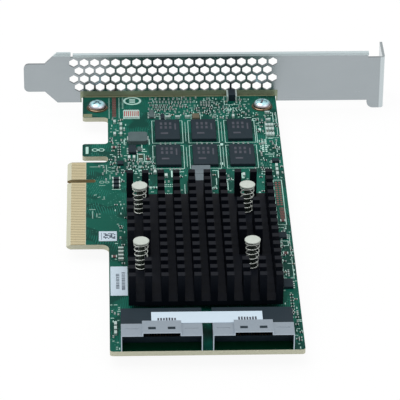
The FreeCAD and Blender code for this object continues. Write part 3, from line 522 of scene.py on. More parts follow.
# slot: name, two tones, scale of the grain, least and most roughness, relief, metallic and specular
finishes = {
    "gold": ("hardGold", (0.86, 0.76, 0.5), (0.76, 0.66, 0.43), 1800, (0.3, 0.45), 0.1, 0.8, 0.5),
    "black_anodised": ("blackAnodised", (0.0022, 0.0034, 0.0062), (0.0045, 0.0064, 0.012),
        1400, (0.4, 0.58), 0.3, 0, 0.13),
    "package_green": ("packageGreen", (0.02, 0.1, 0.07), (0.03, 0.13, 0.09), 1500, (0.4, 0.5), 0.2, 0, 0.5),
    "lid_metal": ("lidMetal", (0.45, 0.46, 0.48), (0.4, 0.41, 0.43), 1500, (0.3, 0.42), 0.2, 1, 0.5),
    "thermal_grey": ("thermalPad", (0.16, 0.2, 0.22), (0.11, 0.14, 0.16), 1300, (0.7, 0.85), 0.4, 0, 0.2),
    "pin_cream": ("naturalNylon", (0.55, 0.6, 0.55), (0.48, 0.53, 0.48), 700, (0.3, 0.42), 0.2, 0, 0.4),
    "spring_steel": ("springWire", (0.7, 0.74, 0.7), (0.54, 0.58, 0.54), 2500, (0.18, 0.3), 0.1, 0.9, 0.5),
    "shell_metal": ("tinnedSheet", (0.43, 0.5, 0.57), (0.38, 0.45, 0.52), 1100, (0.28, 0.4), 0.2, 0.9, 0.5),
    "socket_black": ("blackMoulding", (0.008, 0.019, 0.028), (0.015, 0.028, 0.039),
        1900, (0.45, 0.6), 0.4, 0, 0.2),
    "contact_gold": ("contactGold", (0.15, 0.11, 0.055), (0.12, 0.085, 0.045),
        2500, (0.25, 0.35), 0.1, 1, 0.5),
    "label_white": ("labelFilm", (0.58, 0.69, 0.78), (0.55, 0.66, 0.75), 500, (0.45, 0.6), 0.1, 0, 0.3),
    "chip_black": ("mouldingCompound", (0.008, 0.019, 0.027), (0.014, 0.027, 0.037),
        2600, (0.42, 0.58), 0.5, 0, 0.17),
    "choke_grey": ("powderCore", (0.06, 0.096, 0.1), (0.1, 0.14, 0.145), 2400, (0.5, 0.7), 0.8, 0, 0.2),
    "tin": ("tinnedEnd", (0.64, 0.76, 0.73), (0.5, 0.62, 0.59), 2600, (0.26, 0.4), 0.4, 0.4, 0.5),
    "ceramic_tan": ("ceramicTan", (0.15, 0.13, 0.085), (0.1, 0.09, 0.06), 2000, (0.45, 0.6), 0.3, 0, 0.3),
    "resistor_black": ("resistorFilm", (0.01, 0.012, 0.014), (0.018, 0.02, 0.022),
        2600, (0.25, 0.4), 0.2, 0, 0.3),
    "array_red": ("arrayRed", (0.4, 0.1, 0.1), (0.33, 0.08, 0.08), 2000, (0.35, 0.5), 0.2, 0, 0.3),
    "fuse_brown": ("fuseBrown", (0.085, 0.034, 0.026), (0.115, 0.05, 0.04), 2000, (0.3, 0.45), 0.2, 0, 0.3),
    "dullRed": ("dullRed", (0.15, 0.065, 0.065), (0.1, 0.05, 0.05), 2000, (0.4, 0.55), 0.2, 0, 0.25),
    # painted shade on the push pins' shafts below their heads
    "pinShade": ("pinShaftShade", (0.045, 0.062, 0.05), (0.03, 0.042, 0.034), 1500, (0.4, 0.55), 0.2, 0, 0.25),
    "olive": ("oliveCeramic", (0.02, 0.034, 0.016), (0.032, 0.045, 0.022), 2000, (0.4, 0.55), 0.3, 0, 0.25),
    "copper": ("bareCopper", (0.2, 0.135, 0.085), (0.26, 0.11, 0.08), 1800, (0.3, 0.45), 0.2, 0.7, 0.5),
    "redCopper": ("redCopper", (0.23, 0.085, 0.075), (0.14, 0.06, 0.055), 1800, (0.4, 0.55), 0.2, 0.3, 0.5),
    "bareTan": ("bareLaminate", (0.25, 0.26, 0.16), (0.18, 0.19, 0.11), 1500, (0.45, 0.6), 0.2, 0, 0.2),
    "padPale": ("maskedPad", (0.26, 0.42, 0.36), (0.18, 0.32, 0.27), 1800, (0.4, 0.55), 0.2, 0, 0.3),
    "silkWhite": ("silkInk", (0.52, 0.76, 0.69), (0.38, 0.6, 0.53), 1600, (0.5, 0.65), 0.2, 0, 0.3),
    "markGrey": ("laserMark", (0.08, 0.085, 0.105), (0.055, 0.06, 0.078), 2600, (0.5, 0.65), 0.2, 0, 0.2),
    "inkDark": ("printInk", (0.05, 0.07, 0.1), (0.12, 0.15, 0.19), 2200, (0.5, 0.6), 0.1, 0, 0.2),
}


def makeMaterials():
    look = {slotName: grainedMaterial(*finish) for slotName, finish in finishes.items()}
    look["board_green"] = makeBoardMaterial()
    look["bracket_steel"] = makeBracketMaterial()
    look["screw_steel"] = makeScrewMaterial()
    return look


looks = makeMaterials()
print("materials made:", len(looks))

slotOf = {part["node"]: part["material_slot"] for part in frame["record"]["subparts"]}
for nodeName, slotName in slotOf.items():
    paint(nodes[nodeName], looks[slotName])


# chip parts: a body between two raised metal ends, one for every solid in a CAD row, with lengths in mm

smallParts = {
    "ceramic_capacitors": {"ends": 0.27, "body": "ceramic_tan", "proud": 0.02, "bevel": 0.06},
    "filter_capacitor": {"ends": 0.16, "body": "olive", "proud": 0.02, "bevel": 0.06},
    "chip_resistors": {"ends": 0.27, "body": "resistor_black", "proud": 0.01, "bevel": 0.03},
    "sense_resistors": {"ends": 0.2, "body": "dullRed", "proud": 0.01, "bevel": 0.03},
    "resistor_arrays": {"ends": 0.17, "body": "array_red", "proud": 0.01, "bevel": 0.03},
    "fuse_row": {"ends": 0.05, "body": "fuse_brown", "proud": 0.01, "bevel": 0.04},
    "signal_diodes": {"ends": 0.14, "body": "chip_black", "proud": 0.02, "bevel": 0.06},
}
takenBoxes = []  # footprints that a scattered part keeps clear of


def makeChipPart(name, size, form):
    deselectAll()
    bpy.ops.mesh.primitive_cube_add(size=1, location=(0, 0, size.z / 2))
    chip = bpy.context.object
    chip.name = name
    chip.scale = size
    applyPlace(chip)
    paint(chip, looks[form["body"]], looks["tin"])
    limit = (0.5 - form["ends"]) * size.x
    for side in (-1, 1):
        editAll()
        bpy.ops.mesh.bisect(plane_co=(side * limit, 0, 0), plane_no=(1, 0, 0))
    paintFaces(chip, lambda centre, normal: abs(centre.x) > limit)
    selectFaces(
        chip, lambda centre, normal: abs(centre.x) > limit and abs(normal.x) < 0.5 and normal.z > -0.5)
    bpy.ops.mesh.extrude_region_shrink_fatten(TRANSFORM_OT_shrink_fatten={"value": form["proud"] * mm})
    leaveEdit()
    softenEdges(chip, form["bevel"] * mm)
    return chip


def makeChipRows():
    for nodeName, form in smallParts.items():
        boxes = looseBoxes(nodeName)
        takenBoxes.extend(boxes)
        low, high = boxes[0]
        size = high - low
        if size.y > size.x:
            size = Vector((size.y, size.x, size.z))
        model = makeChipPart(nodeName + "Model", size, form)
        copies = []
        for low, high in boxes:
            middle = (low + high) / 2
            turned = high.y - low.y > high.x - low.x
            copies.append(copyPiece(model, (middle.x, middle.y, low.z), math.pi / 2 if turned else 0))
        dropPiece(model)
        row = joinPieces(copies, nodeName + "Finished")
        finishPiece(row, slotOf[nodeName], nodeName)
        print("small parts:", nodeName, len(boxes))


# turned pieces, built up ring by ring from their lowest circle

def turnPiece(name, rings, corners):
    deselectAll()
    radius, level = rings[0]
    bpy.ops.mesh.primitive_circle_add(vertices=corners, radius=radius, location=(0, 0, level), fill_type="NGON")
    piece = bpy.context.object
    piece.name = name
    applyPlace(piece)
    editAll()
    for nextRadius, nextLevel in rings[1:]:
        bpy.ops.mesh.extrude_region_move(TRANSFORM_OT_translate={"value": (0, 0, nextLevel - level)})
        share = nextRadius / radius
        bpy.ops.transform.resize(value=(share, share, 1), center_override=(0, 0, nextLevel))
        radius, level = nextRadius, nextLevel
    bpy.ops.mesh.select_all(action="SELECT")
    bpy.ops.mesh.normals_make_consistent(inside=False)
    leaveEdit()
    activeOnly(piece)
    bpy.ops.object.shade_smooth_by_angle(angle=math.radians(38))
    return piece


def cutAway(piece, cutter):
    cut = piece.modifiers.new("cut", "BOOLEAN")
    cut.operation = "DIFFERENCE"
    cut.solver = "EXACT"
    cut.object = cutter
    applyModifiers(piece)
    dropPiece(cutter)


def addCutter(size, place, turn=0):
    deselectAll()
    bpy.ops.mesh.primitive_cube_add(size=1, location=place, rotation=(0, 0, turn))
    cutter = bpy.context.object
    cutter.scale = size
    applyPlace(cutter)
    return cutter


screwForm = {
    "corners": 44,
    "rim": 0.45,
    "rimBreak": 0.08,
    "domeRings": [(0.90, 0.21), (0.88, 0.40), (0.79, 0.64), (0.62, 0.83), (0.40, 0.95), (0.18, 1.0)],
    "headRise": 1.14,  # share of the solid's height
    "shank": 1.5,
    "shankBelow": 1.7,  # under the board
    "crossWidth": 0.75,
    "crossSpan": 3.5,
    "crossDepth": 1.2,
    "crossTurn": math.radians(20),
    "turnPerMetre": 40,  # each screw is turned by its place
}


def makeScrews():
    form = screwForm
    boxes = looseBoxes("bracket_screws")
    low, high = boxes[0]
    head = (high.x - low.x) / 2 / mm
    top = form["headRise"] * (high.z - boardTop) / mm
    foot = max(low.z, boardLow.z - form["shankBelow"] * mm)
    rings = [(form["shank"], (foot - boardTop) / mm), (form["shank"], -0.001), (head, 0)]
    rings += [(head, form["rim"] - form["rimBreak"]), (head - form["rimBreak"], form["rim"])]
    rings += [(share * head, rise * top) for share, rise in form["domeRings"]]
    screw = turnPiece("screwModel", [(r * mm, z * mm) for r, z in rings], form["corners"])
    size = (form["crossSpan"] * mm, form["crossWidth"] * mm, 2 * form["crossDepth"] * mm)
    for turn in (0, math.pi / 2):
        cutAway(screw, addCutter(size, (0, 0, top * mm), turn + form["crossTurn"]))
    paint(screw, looks["screw_steel"])
    middles = [(low + high) / 2 for low, high in boxes]
    copies = []
    for middle in middles:
        copies.append(copyPiece(screw, (middle.x, middle.y, boardTop), middle.x * form["turnPerMetre"]))
    dropPiece(screw)
    pair = joinPieces(copies, "bracketScrewsFinished")
    finishPiece(pair, "screw_steel", "bracket_screws")
    print("screws made")
    return middles


pinForm = {
    "corners": 36,
    "shaft": 1.0,
    "tip": 0.56,  # share of the barb's radius
    "barb": 0.82,  # share of the head's radius
    "barbLength": 2.4,
    "headThick": 0.55,
    "headRings": [(0.97, -0.01), (1.0, 0.14), (1.0, 0.7), (0.96, 0.86), (0.88, 0.95), (0.7, 0.99), (0.3, 1.0)],
    "slit": (0.7, 6, 7),
    "slitBelow": 1.6,
}

springForm = {
    "foot": 1.75,
    "top": 2.1,
    "wire": 0.22,
    "turns": 6.5,
    "closedTurns": 0.75,
    "pointsPerTurn": 14,
}


def makePin(corner):
    form = pinForm
    low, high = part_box("push_pin_" + corner)
    middle = (low + high) / 2
    head = (high.x - low.x) / 2 / mm
    barb = form["barb"] * head
    under = high.z / mm - form["headThick"]
    board = low.z / mm + form["barbLength"]
    rings = [(form["tip"] * barb, low.z / mm), (barb, board)]
    rings += [(form["shaft"], board + 0.001), (form["shaft"], under)]
    rings += [(share * head, under + rise * form["headThick"]) for share, rise in form["headRings"]]
    pin = turnPiece("pushPin", [(r * mm, z * mm) for r, z in rings], form["corners"])
    slit = tuple(side * mm for side in form["slit"])
    cutAway(pin, addCutter(slit, (0, 0, (board - form["slitBelow"]) * mm)))
    paint(pin, looks["pin_cream"], looks["pinShade"])
    # the shaft below the head gets the painted shade
    paintFaces(pin, lambda centre, normal: boardTop < centre.z < (under - 0.1) * mm)
    pin.location = (middle.x, middle.y, 0)
    pin = joinPieces([pin], "pushPin" + corner.title().replace("_", ""))
    finishPiece(pin, "pin_cream", "push_pin_" + corner)


def makeSpring(corner):
    form = springForm
    low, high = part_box("pin_spring_" + corner)
    middle = (low + high) / 2
    height = (high.z - low.z) / mm
    steps = round(form["turns"] * form["pointsPerTurn"])
    flat = form["closedTurns"] * form["pointsPerTurn"]
    points = []
    for step in range(steps + 1):
        share = min(max((step - flat) / (steps - 2 * flat), 0), 1)
        radius = form["foot"] + share * (form["top"] - form["foot"])
        angle = 2 * math.pi * step / form["pointsPerTurn"]
        level = form["wire"] + share * (height - 2 * form["wire"])
        points.append((radius * math.cos(angle) * mm, radius * math.sin(angle) * mm, level * mm, 1.0))
    deselectAll()
    bpy.ops.curve.primitive_nurbs_path_add(location=(0, 0, 0))
    spring = bpy.context.object
    curve = spring.data
    curve.splines.clear()
    spline = curve.splines.new("NURBS")
    spline.points.add(len(points) - 1)
    for point, place in zip(spline.points, points):
        point.co = place
    spline.order_u = 3
    spline.use_endpoint_u = True
    spline.resolution_u = 2
    curve.bevel_depth = form["wire"] * mm
    curve.bevel_resolution = 2
    curve.use_fill_caps = True
    activeOnly(spring)
    bpy.ops.object.convert(target="MESH")
    spring = bpy.context.object
    bpy.ops.object.shade_smooth_by_angle(angle=math.radians(50))
    paint(spring, looks["spring_steel"])
    spring.location = (middle.x, middle.y, low.z)
    spring = joinPieces([spring], "pinSpring" + corner.title().replace("_", ""))
    finishPiece(spring, "spring_steel", "pin_spring_" + corner)


sinkForm = {
    "flatAngle": math.radians(1),
    "edgeBreak": 0.10 * mm,
}


def makeHeatSink():
    # the CAD solid with a fine break on every edge
    sink = copyNode("heat_sink")
    bpy.ops.mesh.dissolve_limited(angle_limit=sinkForm["flatAngle"])
    leaveEdit()
    softenEdges(sink, sinkForm["edgeBreak"])
    paint(sink, looks["black_anodised"])
    sink = joinPieces([sink], "heatSinkFinished")
    finishPiece(sink, "black_anodised", "heat_sink")
    print("heat sink made")


# the grey pad and its chip reach on towards the memory chips

padEnd = {
    "narrower": 1.2 * mm,
    "length": 5.4 * mm,
    "aside": 0.55 * mm,
    "past": 2.9 * mm,
    "chipInset": 0.5 * mm,
    "bevel": 0.12 * mm,
}


def makePadEnd():
    form = padEnd
    low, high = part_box("gap_pad")
    layers = []
    for floor, top, inset, slotName in (
        (boardTop, low.z, form["chipInset"], "chip_black"),
        (low.z, high.z, 0, "thermal_grey"),
    ):
        deselectAll()
        bpy.ops.mesh.primitive_cube_add(size=1)
        layer = bpy.context.object
        layer.scale = (high.x - low.x - form["narrower"] - 2 * inset, form["length"], top - floor)
        x, y = (low.x + high.x) / 2 + form["aside"], high.y + form["past"] - inset
        layer.location = (x, y, (floor + top) / 2)
        applyPlace(layer)
        softenEdges(layer, form["bevel"], 3)
        paint(layer, looks[slotName])
        layers.append(layer)
    finishPiece(joinPieces(layers, "padEnd"), "thermal_grey")
    print("pad end made")


# printed marks: flat shapes given a thin layer of ink, with places and sizes in mm

inkThick = 0.02 * mm


def addBar(x, y, width, depth, turn=0):
    deselectAll()
    bpy.ops.mesh.primitive_plane_add(size=1, location=(x * mm, y * mm, 0), rotation=(0, 0, turn))
    bar = bpy.context.object
    bar.scale = (width * mm, depth * mm, 1)
    return bar


def addGrid(x, y, width, depth, columns, rows, pitch):
    # bars in columns and rows, from the first one's place
    places = [(x + column * pitch[0], y + row * pitch[1]) for column in range(columns) for row in range(rows)]
    return [addBar(*place, width, depth) for place in places]


def hollow(mark, line):
    applyPlace(mark)
    editAll()
    bpy.ops.mesh.inset(thickness=line * mm)
    bpy.ops.mesh.delete(type="FACE")
    leaveEdit()
    return mark


def addFrame(x, y, width, depth, line):
    return hollow(addBar(x, y, width, depth), line)


def addRing(x, y, outer, line, stretch=1.0):
    deselectAll()
    place = (x * mm, y * mm, 0)
    bpy.ops.mesh.primitive_circle_add(vertices=28, radius=outer * mm, fill_type="NGON", location=place)
    ring = bpy.context.object
    ring.scale = (stretch, 1, 1)
    return hollow(ring, line)


def printMarks(name, marks, level, material, slotName):
    sheet = joinPieces(marks, name)
    sheet.location = (0, 0, level)
    applyPlace(sheet)
    editAll()
    bpy.ops.mesh.extrude_region_move(TRANSFORM_OT_translate={"value": (0, 0, inkThick)})
    bpy.ops.mesh.select_all(action="SELECT")
    bpy.ops.mesh.normals_make_consistent(inside=False)
    leaveEdit()
    paint(sheet, looks[material])
    finishPiece(sheet, slotName)
    print("printed:", name, len(marks))


def boxMiddle(nodeName):
    low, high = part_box(nodeName)
    return (low + high) / 2 / mm, (high - low) / mm


# white rules: x, y, width, depth and turn
ruleMarks = [
    (6.2, 20.0, 0.9, 4.6),  # index tab
    (13.4, 48.6, 0.13, 14.4), (16.7, 48.6, 0.13, 14.4),  # beside the brown row
    (26.28, 25.1, 0.35, 3.2), (25.95, 26.9, 0.8, 0.3), (18.2, 25.2, 0.35, 3.0), (18.5, 26.9, 0.8, 0.3),  # inductor
    (23.86, 21.2, 0.28, 4.4), (24.5, 18.9, 1.9, 0.35), (24.55, 20.3, 0.6, 0.6),  # regulator
    (25.9, 12.2, 2.2, 0.3), (25.9, 11.3, 2.2, 0.25), (23.2, 9.3, 1.5, 0.3), (23.2, 8.5, 1.5, 0.25),
    (23.2, 5.7, 1.2, 0.4), (19.8, 6.7, 1.2, 0.4), (58.8, 41.3, 2.6, 0.3), (62.5, 33.1, 0.9, 1.5),
    (49.7, 23.2, 0.9, 1.5), (49.2, 10.5, 0.9, 1.5),
    (65.5, 27.0, 2.0, 0.35), (64.9, 16.4, 3.0, 0.35), (67.4, 22.0, 0.2, 9.0),  # right of the memory
    (67.25, 41.8, 0.22, 5.6), (68.3, 41.0, 0.22, 7.6), (61.4, 30.0, 0.18, 12.0),
    (65.0, -50.0, 0.2, 24.0), (68.0, -47.0, 0.2, 26.0), (64.7, -10.0, 0.2, 18.0),  # beside the heat sink
    # between the fins
    (34.9, 7.3, 4.4, 0.4), (35.3, 5.4, 3.4, 0.35), (33.1, 4.1, 0.5, 4.2), (31.3, 3.0, 0.95, 2.6),
    (37.0, -6.0, 0.2, 6.8), (47.0, 6.0, 2.0, 0.35), (47.85, 3.6, 0.3, 4.6), (47.1, -1.0, 0.25, 4.2),
    (55.65, 2.5, 0.9, 3.2), (50.6, -3.8, 0.25, 5.8), (51.3, 0.0, 2.6, 0.4), (60.4, -8.8, 0.6, 2.0),
    (27.8, 5.3, 1.0, 1.2), (23.2, 6.6, 1.3, 0.6), (19.8, 7.3, 1.2, 0.5), (29.2, 7.5, 1.3, 0.5),
    (26.2, -4.3, 0.7, 0.8), (27.2, -4.3, 0.7, 0.8), (28.2, -4.3, 0.7, 0.8),
    # below the indicator
    (51.6, 47.0, 0.22, 2.6, -0.5), (52.55, 47.0, 0.22, 2.6, -0.3), (53.5, 47.0, 0.22, 2.6, -0.1),
    (54.45, 47.0, 0.22, 2.6, 0.1), (55.4, 47.0, 0.22, 2.6, 0.3), (56.35, 47.0, 0.22, 2.6, 0.5),
]
# outlines: x, y, width, depth and line
frameMarks = [
    (23.45, 14.7, 2.4, 5.4, 0.22), (54.25, 53.3, 5.4, 6.0, 0.2), (61.1, 39.8, 1.3, 1.8, 0.25),
    (66.3, -14.4, 2.9, 28.0, 0.24), (66.4, -39.4, 2.4, 3.0, 0.3), (30.9, 41.7, 2.1, 4.2, 0.2),
    (41.9, 41.75, 3.3, 4.0, 0.2), (66.3, 32.0, 4.0, 9.6, 0.15),
]
# rings: x, y, radius, line and stretch
ringMarks = [
    (21.1, 53.6, 2.8, 0.72, 1.08),  # a plain oval
    (8.7, 20.2, 1.0, 0.3), (10.8, 20.2, 1.0, 0.3),  # index tab
    (46.3, -5.4, 0.9, 0.35),
]
# repeated bars: x, y, width, depth, columns, rows and pitch
gridMarks = [
    (21.1, 52.6, 1.9, 0.66, 1, 3, (0, 1.0)),  # in the oval
    (30.8, -2.7, 0.28, 0.6, 5, 2, (0.58, -1.2)), (30.8, -8.5, 0.28, 0.6, 5, 3, (0.58, -1.5)),  # dots
    (17.9, 55.6, 0.5, 0.25, 1, 9, (0, -0.9)),  # a comb
    (62.95, 25.8, 0.62, 0.8, 2, 7, (1.0, -1.25)),  # pads with nothing on them
]
# fainter rules and rings beside the fingers
faintRules = [
    (8.8, 9.1, 3.5, 0.35), (12.4, 7.4, 0.3, 5.6), (13.4, 8.6, 0.9, 0.35), (13.4, 6.0, 0.9, 0.35),
    (13.5, 2.5, 0.3, 2.9), (11.0, -2.9, 2.0, 0.35),
    (8.8, -8.9, 1.0, 0.4, 0.5), (10.0, -10.2, 1.0, 0.4, 0.5), (11.6, -10.8, 0.3, 2.0),
    (11.4, -11.6, 1.0, 0.35), (7.9, -17.9, 2.0, 0.4), (8.0, -21.1, 0.3, 4.6), (9.3, -21.5, 0.3, 2.3),
    (10.2, -20.7, 0.6, 0.4), (10.1, -22.7, 0.8, 0.4), (16.7, -28.3, 1.6, 0.4), (16.6, -31.1, 1.0, 0.4),
]
faintRings = [(10.9, -0.8, 0.85, 0.3), (12.6, -0.8, 0.7, 0.3)]
bareEdges = [(36.9, 56.75, 63.4, 0.7), (6.35, 43.6, 2.9, 2.2)]
headerPads = [(65.75, -2.0, 0.72, 0.8, 2, 12, (1.1, -1.27)), (66.75, -18.2, 1.5, 0.72, 1, 9, (0, -0.98))]
screwPad = (3.45, 0.8)  # radius and line

chipOutline = {
    "chips": [f"memory_chip_{number}" for number in range(1, 7)],
    "margin": (2.1, 2.0),
    "line": 0.18,
    "rules": (1.9, 0.14, 13.0),  # distance from the chip, width and depth
    "unruled": ("memory_chip_3", "memory_chip_6"),
}
diodeBars = {"size": (2.8, 0.28), "count": 4, "pitch": 2.4}
arrayForm = {"margin": 0.5, "gaps": 7, "gapWidth": 0.24, "gapInset": 0.6}
leadForm = {"proud": 0.2, "length": 0.55, "share": 0.5}
# leads on each side, and the length of their row
leadRows = {
    "level_shifter": (4, 4.4), "buffer_chip": (4, 3.0), "regulator_chip": (4, 4.4), "gate_driver": (3, 2.4),
    "sensor_chip": (3, 1.9), "flash_chip": (4, 4.4), "monitor_chip": (4, 3.0),
}


def addLeads(nodeName, count, span):
    middle, size = boxMiddle(nodeName)
    aside = size.x / 2 + leadForm["proud"]
    pitch = span / count
    first = middle.y - (count - 1) / 2 * pitch
    depth = leadForm["share"] * pitch
    return addGrid(middle.x - aside, first, leadForm["length"], depth, 2, count, (2 * aside, pitch))


def makeSilkscreen():
    marks = [addBar(*rule) for rule in ruleMarks] + [addFrame(*shape) for shape in frameMarks]
    marks += [addRing(*shape) for shape in ringMarks]
    for grid in gridMarks:
        marks += addGrid(*grid)
    form = chipOutline
    for chip in form["chips"]:
        middle, size = boxMiddle(chip)
        width, depth = size.x + form["margin"][0], size.y + form["margin"][1]
        marks.append(addFrame(middle.x, middle.y, width, depth, form["line"]))
        if chip not in form["unruled"]:
            away, width, depth = form["rules"]
            marks.append(addBar(middle.x + size.x / 2 + away, middle.y, width, depth))
    middle, size = boxMiddle("signal_diodes")  # bars between the three diodes
    first = middle.y - (diodeBars["count"] - 1) / 2 * diodeBars["pitch"]
    marks += addGrid(middle.x, first, *diodeBars["size"], 1, diodeBars["count"], (0, diodeBars["pitch"]))
    middle, size = boxMiddle("resistor_arrays")
    marks.append(addBar(middle.x, middle.y, size.x + arrayForm["margin"], size.y + arrayForm["margin"]))
    printMarks("silkscreen", marks, boardTop, "silkWhite", "label_white")
    faint = [addBar(*rule) for rule in faintRules] + [addRing(*shape) for shape in faintRings]
    printMarks("faintMarks", faint, boardTop, "padPale", "label_white")
    pitch = (size.x - arrayForm["margin"]) / arrayForm["gaps"]
    first = middle.x - (arrayForm["gaps"] - 1) / 2 * pitch
    depth = size.y - arrayForm["gapInset"]
    gaps = addGrid(first, middle.y, arrayForm["gapWidth"], depth, arrayForm["gaps"], 1, (pitch, 0))
    printMarks("arrayGaps", gaps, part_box("resistor_arrays")[1].z, "silkWhite", "label_white")

    leads = []
    for nodeName, row in leadRows.items():
        leads += addLeads(nodeName, *row)
    printMarks("chipLeads", leads, boardTop, "tin", "tin")
    copper = [addRing(place.x / mm, place.y / mm, *screwPad) for place in screwPlaces]
    printMarks("screwPads", copper, boardTop, "copper", "gold")
    printMarks("bareEdge", [addBar(*edge) for edge in bareEdges], boardTop, "bareTan", "gold")
    pads = []
    for grid in headerPads:
        pads += addGrid(*grid)
    printMarks("headerPads", pads, boardTop, "redCopper", "gold")


# small parts and marks strewn where the board is busy

# limits in x and y, and how many are tried
busyAreas = [
    (26.5, 49.5, 42.6, 55.6, 420),
    (46.5, 61.0, 40.4, 55.6, 200),
    (61.6, 68.3, 0.0, 46.0, 240),
    (13.7, 18.8, -2.0, 41.0, 170),
    (18.8, 28.0, 3.0, 16.0, 110),
    (20.0, 64.0, -9.0, 7.2, 120),
    (9.0, 17.5, -2.0, 10.0, 22),
    (15.0, 18.2, -53.0, -12.0, 26),
    (64.3, 68.4, -82.0, -2.0, 190),
    (13.5, 15.9, -97.5, -72.0, 80),
    (66.2, 68.4, -97.5, -80.0, 60),
]
# kept clear for marks: x, y, width and depth
keptClear = [(21.1, 53.6, 7, 6.5), (3, 0, 16, 2.6), (66.3, -14.4, 3.2, 28.4), (42, 4, 7.4, 7)]
strewn = {
    "seed": 23,
    "gap": 0.22,
    "step": 0.25,
    "part": (1.0, 0.5, 0.35),
    "tick": (0.3, 1.0),
    "pad": (0.6, 0.6),
    "partShare": 0.42,
    "tickShare": 0.34,
    "darkShare": 0.78,
    "unturnedShare": 0.6,
    "screwRoom": 3.6,
    "openNodes": ("bracket", "circuit_board", "edge_contacts", "heat_sink", "bracket_screws"),
}


def isClear(x, y, width, depth):
    gap = strewn["gap"] * mm
    for low, high in takenBoxes:
        if low.x - gap < x + width / 2 and x - width / 2 < high.x + gap:
            if low.y - gap < y + depth / 2 and y - depth / 2 < high.y + gap:
                return False
    return True


def takeBox(x, y, width, depth):
    reach = Vector((width, depth, 0)) * mm / 2
    centre = Vector((x, y, 0)) * mm
    takenBoxes.append((centre - reach, centre + reach))


def claimSpot(area, size):
    # a clear place for a footprint, turned one way or the other, or nothing
    width, depth = size[:2] if random.random() < strewn["unturnedShare"] else size[1::-1]
    x, y = random.uniform(*area[:2]), random.uniform(*area[2:4])
    step = strewn["step"]
    x, y = round(x / step) * step, round(y / step) * step
    if not isClear(x * mm, y * mm, width * mm, depth * mm):
        return None
    takeBox(x, y, width, depth)
    return x, y, width, depth


def strewParts():
    form = strewn
    random.seed(form["seed"])
    reach = Vector((form["screwRoom"], form["screwRoom"], 0)) * mm
    takenBoxes.extend((place - reach, place + reach) for place in screwPlaces)
    for nodeName in slotOf:
        if nodeName not in smallParts and nodeName not in form["openNodes"]:
            takenBoxes.append(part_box(nodeName))
    for area in keptClear:
        takeBox(*area)
    chip = dict(smallParts["chip_resistors"])
    dark = makeChipPart("darkPart", Vector(form["part"]) * mm, chip)
    chip["body"] = "ceramic_tan"
    tan = makeChipPart("tanPart", Vector(form["part"]) * mm, chip)
    parts, ticks, pads = [], [], []
    for area in busyAreas:
        for _ in range(area[4]):
            choice = random.random()
            if choice < form["partShare"]:
                spot = claimSpot(area, form["part"])
                if spot:
                    turn = math.pi / 2 if spot[3] > spot[2] else 0
                    model = dark if random.random() < form["darkShare"] else tan
                    parts.append(copyPiece(model, (spot[0] * mm, spot[1] * mm, boardTop), turn))
                continue
            kind, row = ("tick", ticks) if choice < form["partShare"] + form["tickShare"] else ("pad", pads)
            spot = claimSpot(area, form[kind])
            if spot:
                row.append(addBar(*spot))
    dropPiece(dark)
    dropPiece(tan)
    print("strewn:", len(parts), len(ticks), len(pads))
    finishPiece(joinPieces(parts, "strewnParts"), "resistor_black")
    printMarks("strewnTicks", ticks, boardTop, "silkWhite", "label_white")
    printMarks("strewnPads", pads, boardTop, "padPale", "tin")


# pale blocks on the memory chips: x and y from the middle, width, depth, columns, rows and pitch
chipBlocks = [
    (-2.0, 3.6, 0.75, 1.7, 3, 2, (1.5, -2.6)),
    (2.6, 1.6, 0.5, 4.2, 1, 1, (0, 0)),
    (-1.0, -2.9, 2.4, 1.0, 1, 1, (0, 0)),
]


def makeChipMarks():
    marks = []
    for chip in chipOutline["chips"]:
        middle = boxMiddle(chip)[0]
        for x, y, *rest in chipBlocks:
            marks += addGrid(middle.x + x, middle.y + y, *rest)
    printMarks("memoryMarks", marks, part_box("memory_chip_1")[1].z, "markGrey", "chip_black")


labelMarks = {
    "seed": 7,
    "columns": ((-0.4, 0.52), (1.3, 0.62)),  # of bars: place and share of the label's length
    "bars": (0.16, 0.28, 0.4),
    "barWidth": 1.0,
    "gaps": (0.2, 0.32),
    "rule": (0.8, 0.14, 1.6),  # from the label's end, width, and how much shorter than the label
    "blocks": (8, 6),
    "blockStart": (-1.15, -1.3),
    "blockPitch": (0.46, 0.54),
    "blockSize": (0.43, 0.5),
    "blockShare": 0.6,
    "dashes": 7,
    "dashPlace": (11.6, -0.9),
    "dashPitch": 0.8,
    "dashWidth": 0.5,
    "dashDepth": (1.1, 1.9),
}


def makeLabelPrint():
    form = labelMarks
    random.seed(form["seed"])
    marks = []
    middle, size = boxMiddle("barcode_label")
    for column, reach in form["columns"]:
        y = middle.y - size.y * reach / 2
        while y < middle.y + size.y * reach / 2:
            step = random.choice(form["bars"])
            marks.append(addBar(middle.x + column, y, form["barWidth"], step))
            y += step + random.choice(form["gaps"])
    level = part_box("barcode_label")[1].z
    middle, size = boxMiddle("code_label")
    inset, width, shorter = form["rule"]
    marks.append(addBar(middle.x - size.x / 2 + inset, middle.y, width, size.y - shorter))
    left, low = middle.x + form["blockStart"][0], middle.y + form["blockStart"][1]
    across, up = form["blockPitch"]
    for column in range(form["blocks"][0]):  # a plain block code
        for row in range(form["blocks"][1]):
            if random.random() < form["blockShare"]:
                marks.append(addBar(left + column * across, low + row * up, *form["blockSize"]))
    printMarks("labelPrint", marks, level, "inkDark", "label_white")
    marks = []
    middle = boxMiddle("socket_label")[0]
    aside, y = form["dashPlace"]
    for side in (-1, 1):
        for dash in range(form["dashes"]):
            x = middle.x + side * aside + (dash - (form["dashes"] - 1) / 2) * form["dashPitch"]
            marks.append(addBar(x, middle.y + y, form["dashWidth"], random.uniform(*form["dashDepth"])))
    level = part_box("socket_label")[1].z
    printMarks("socketLabelPrint", marks, level, "markGrey", "label_white")


# painted shade: dark sheets just below the windows in the two latches

latchWindowShade = {
    "size": (2.15, 1.25),
    "spacing": 5.6,
    "setback": 2.4,
    "depth": 0.16 * mm,
}


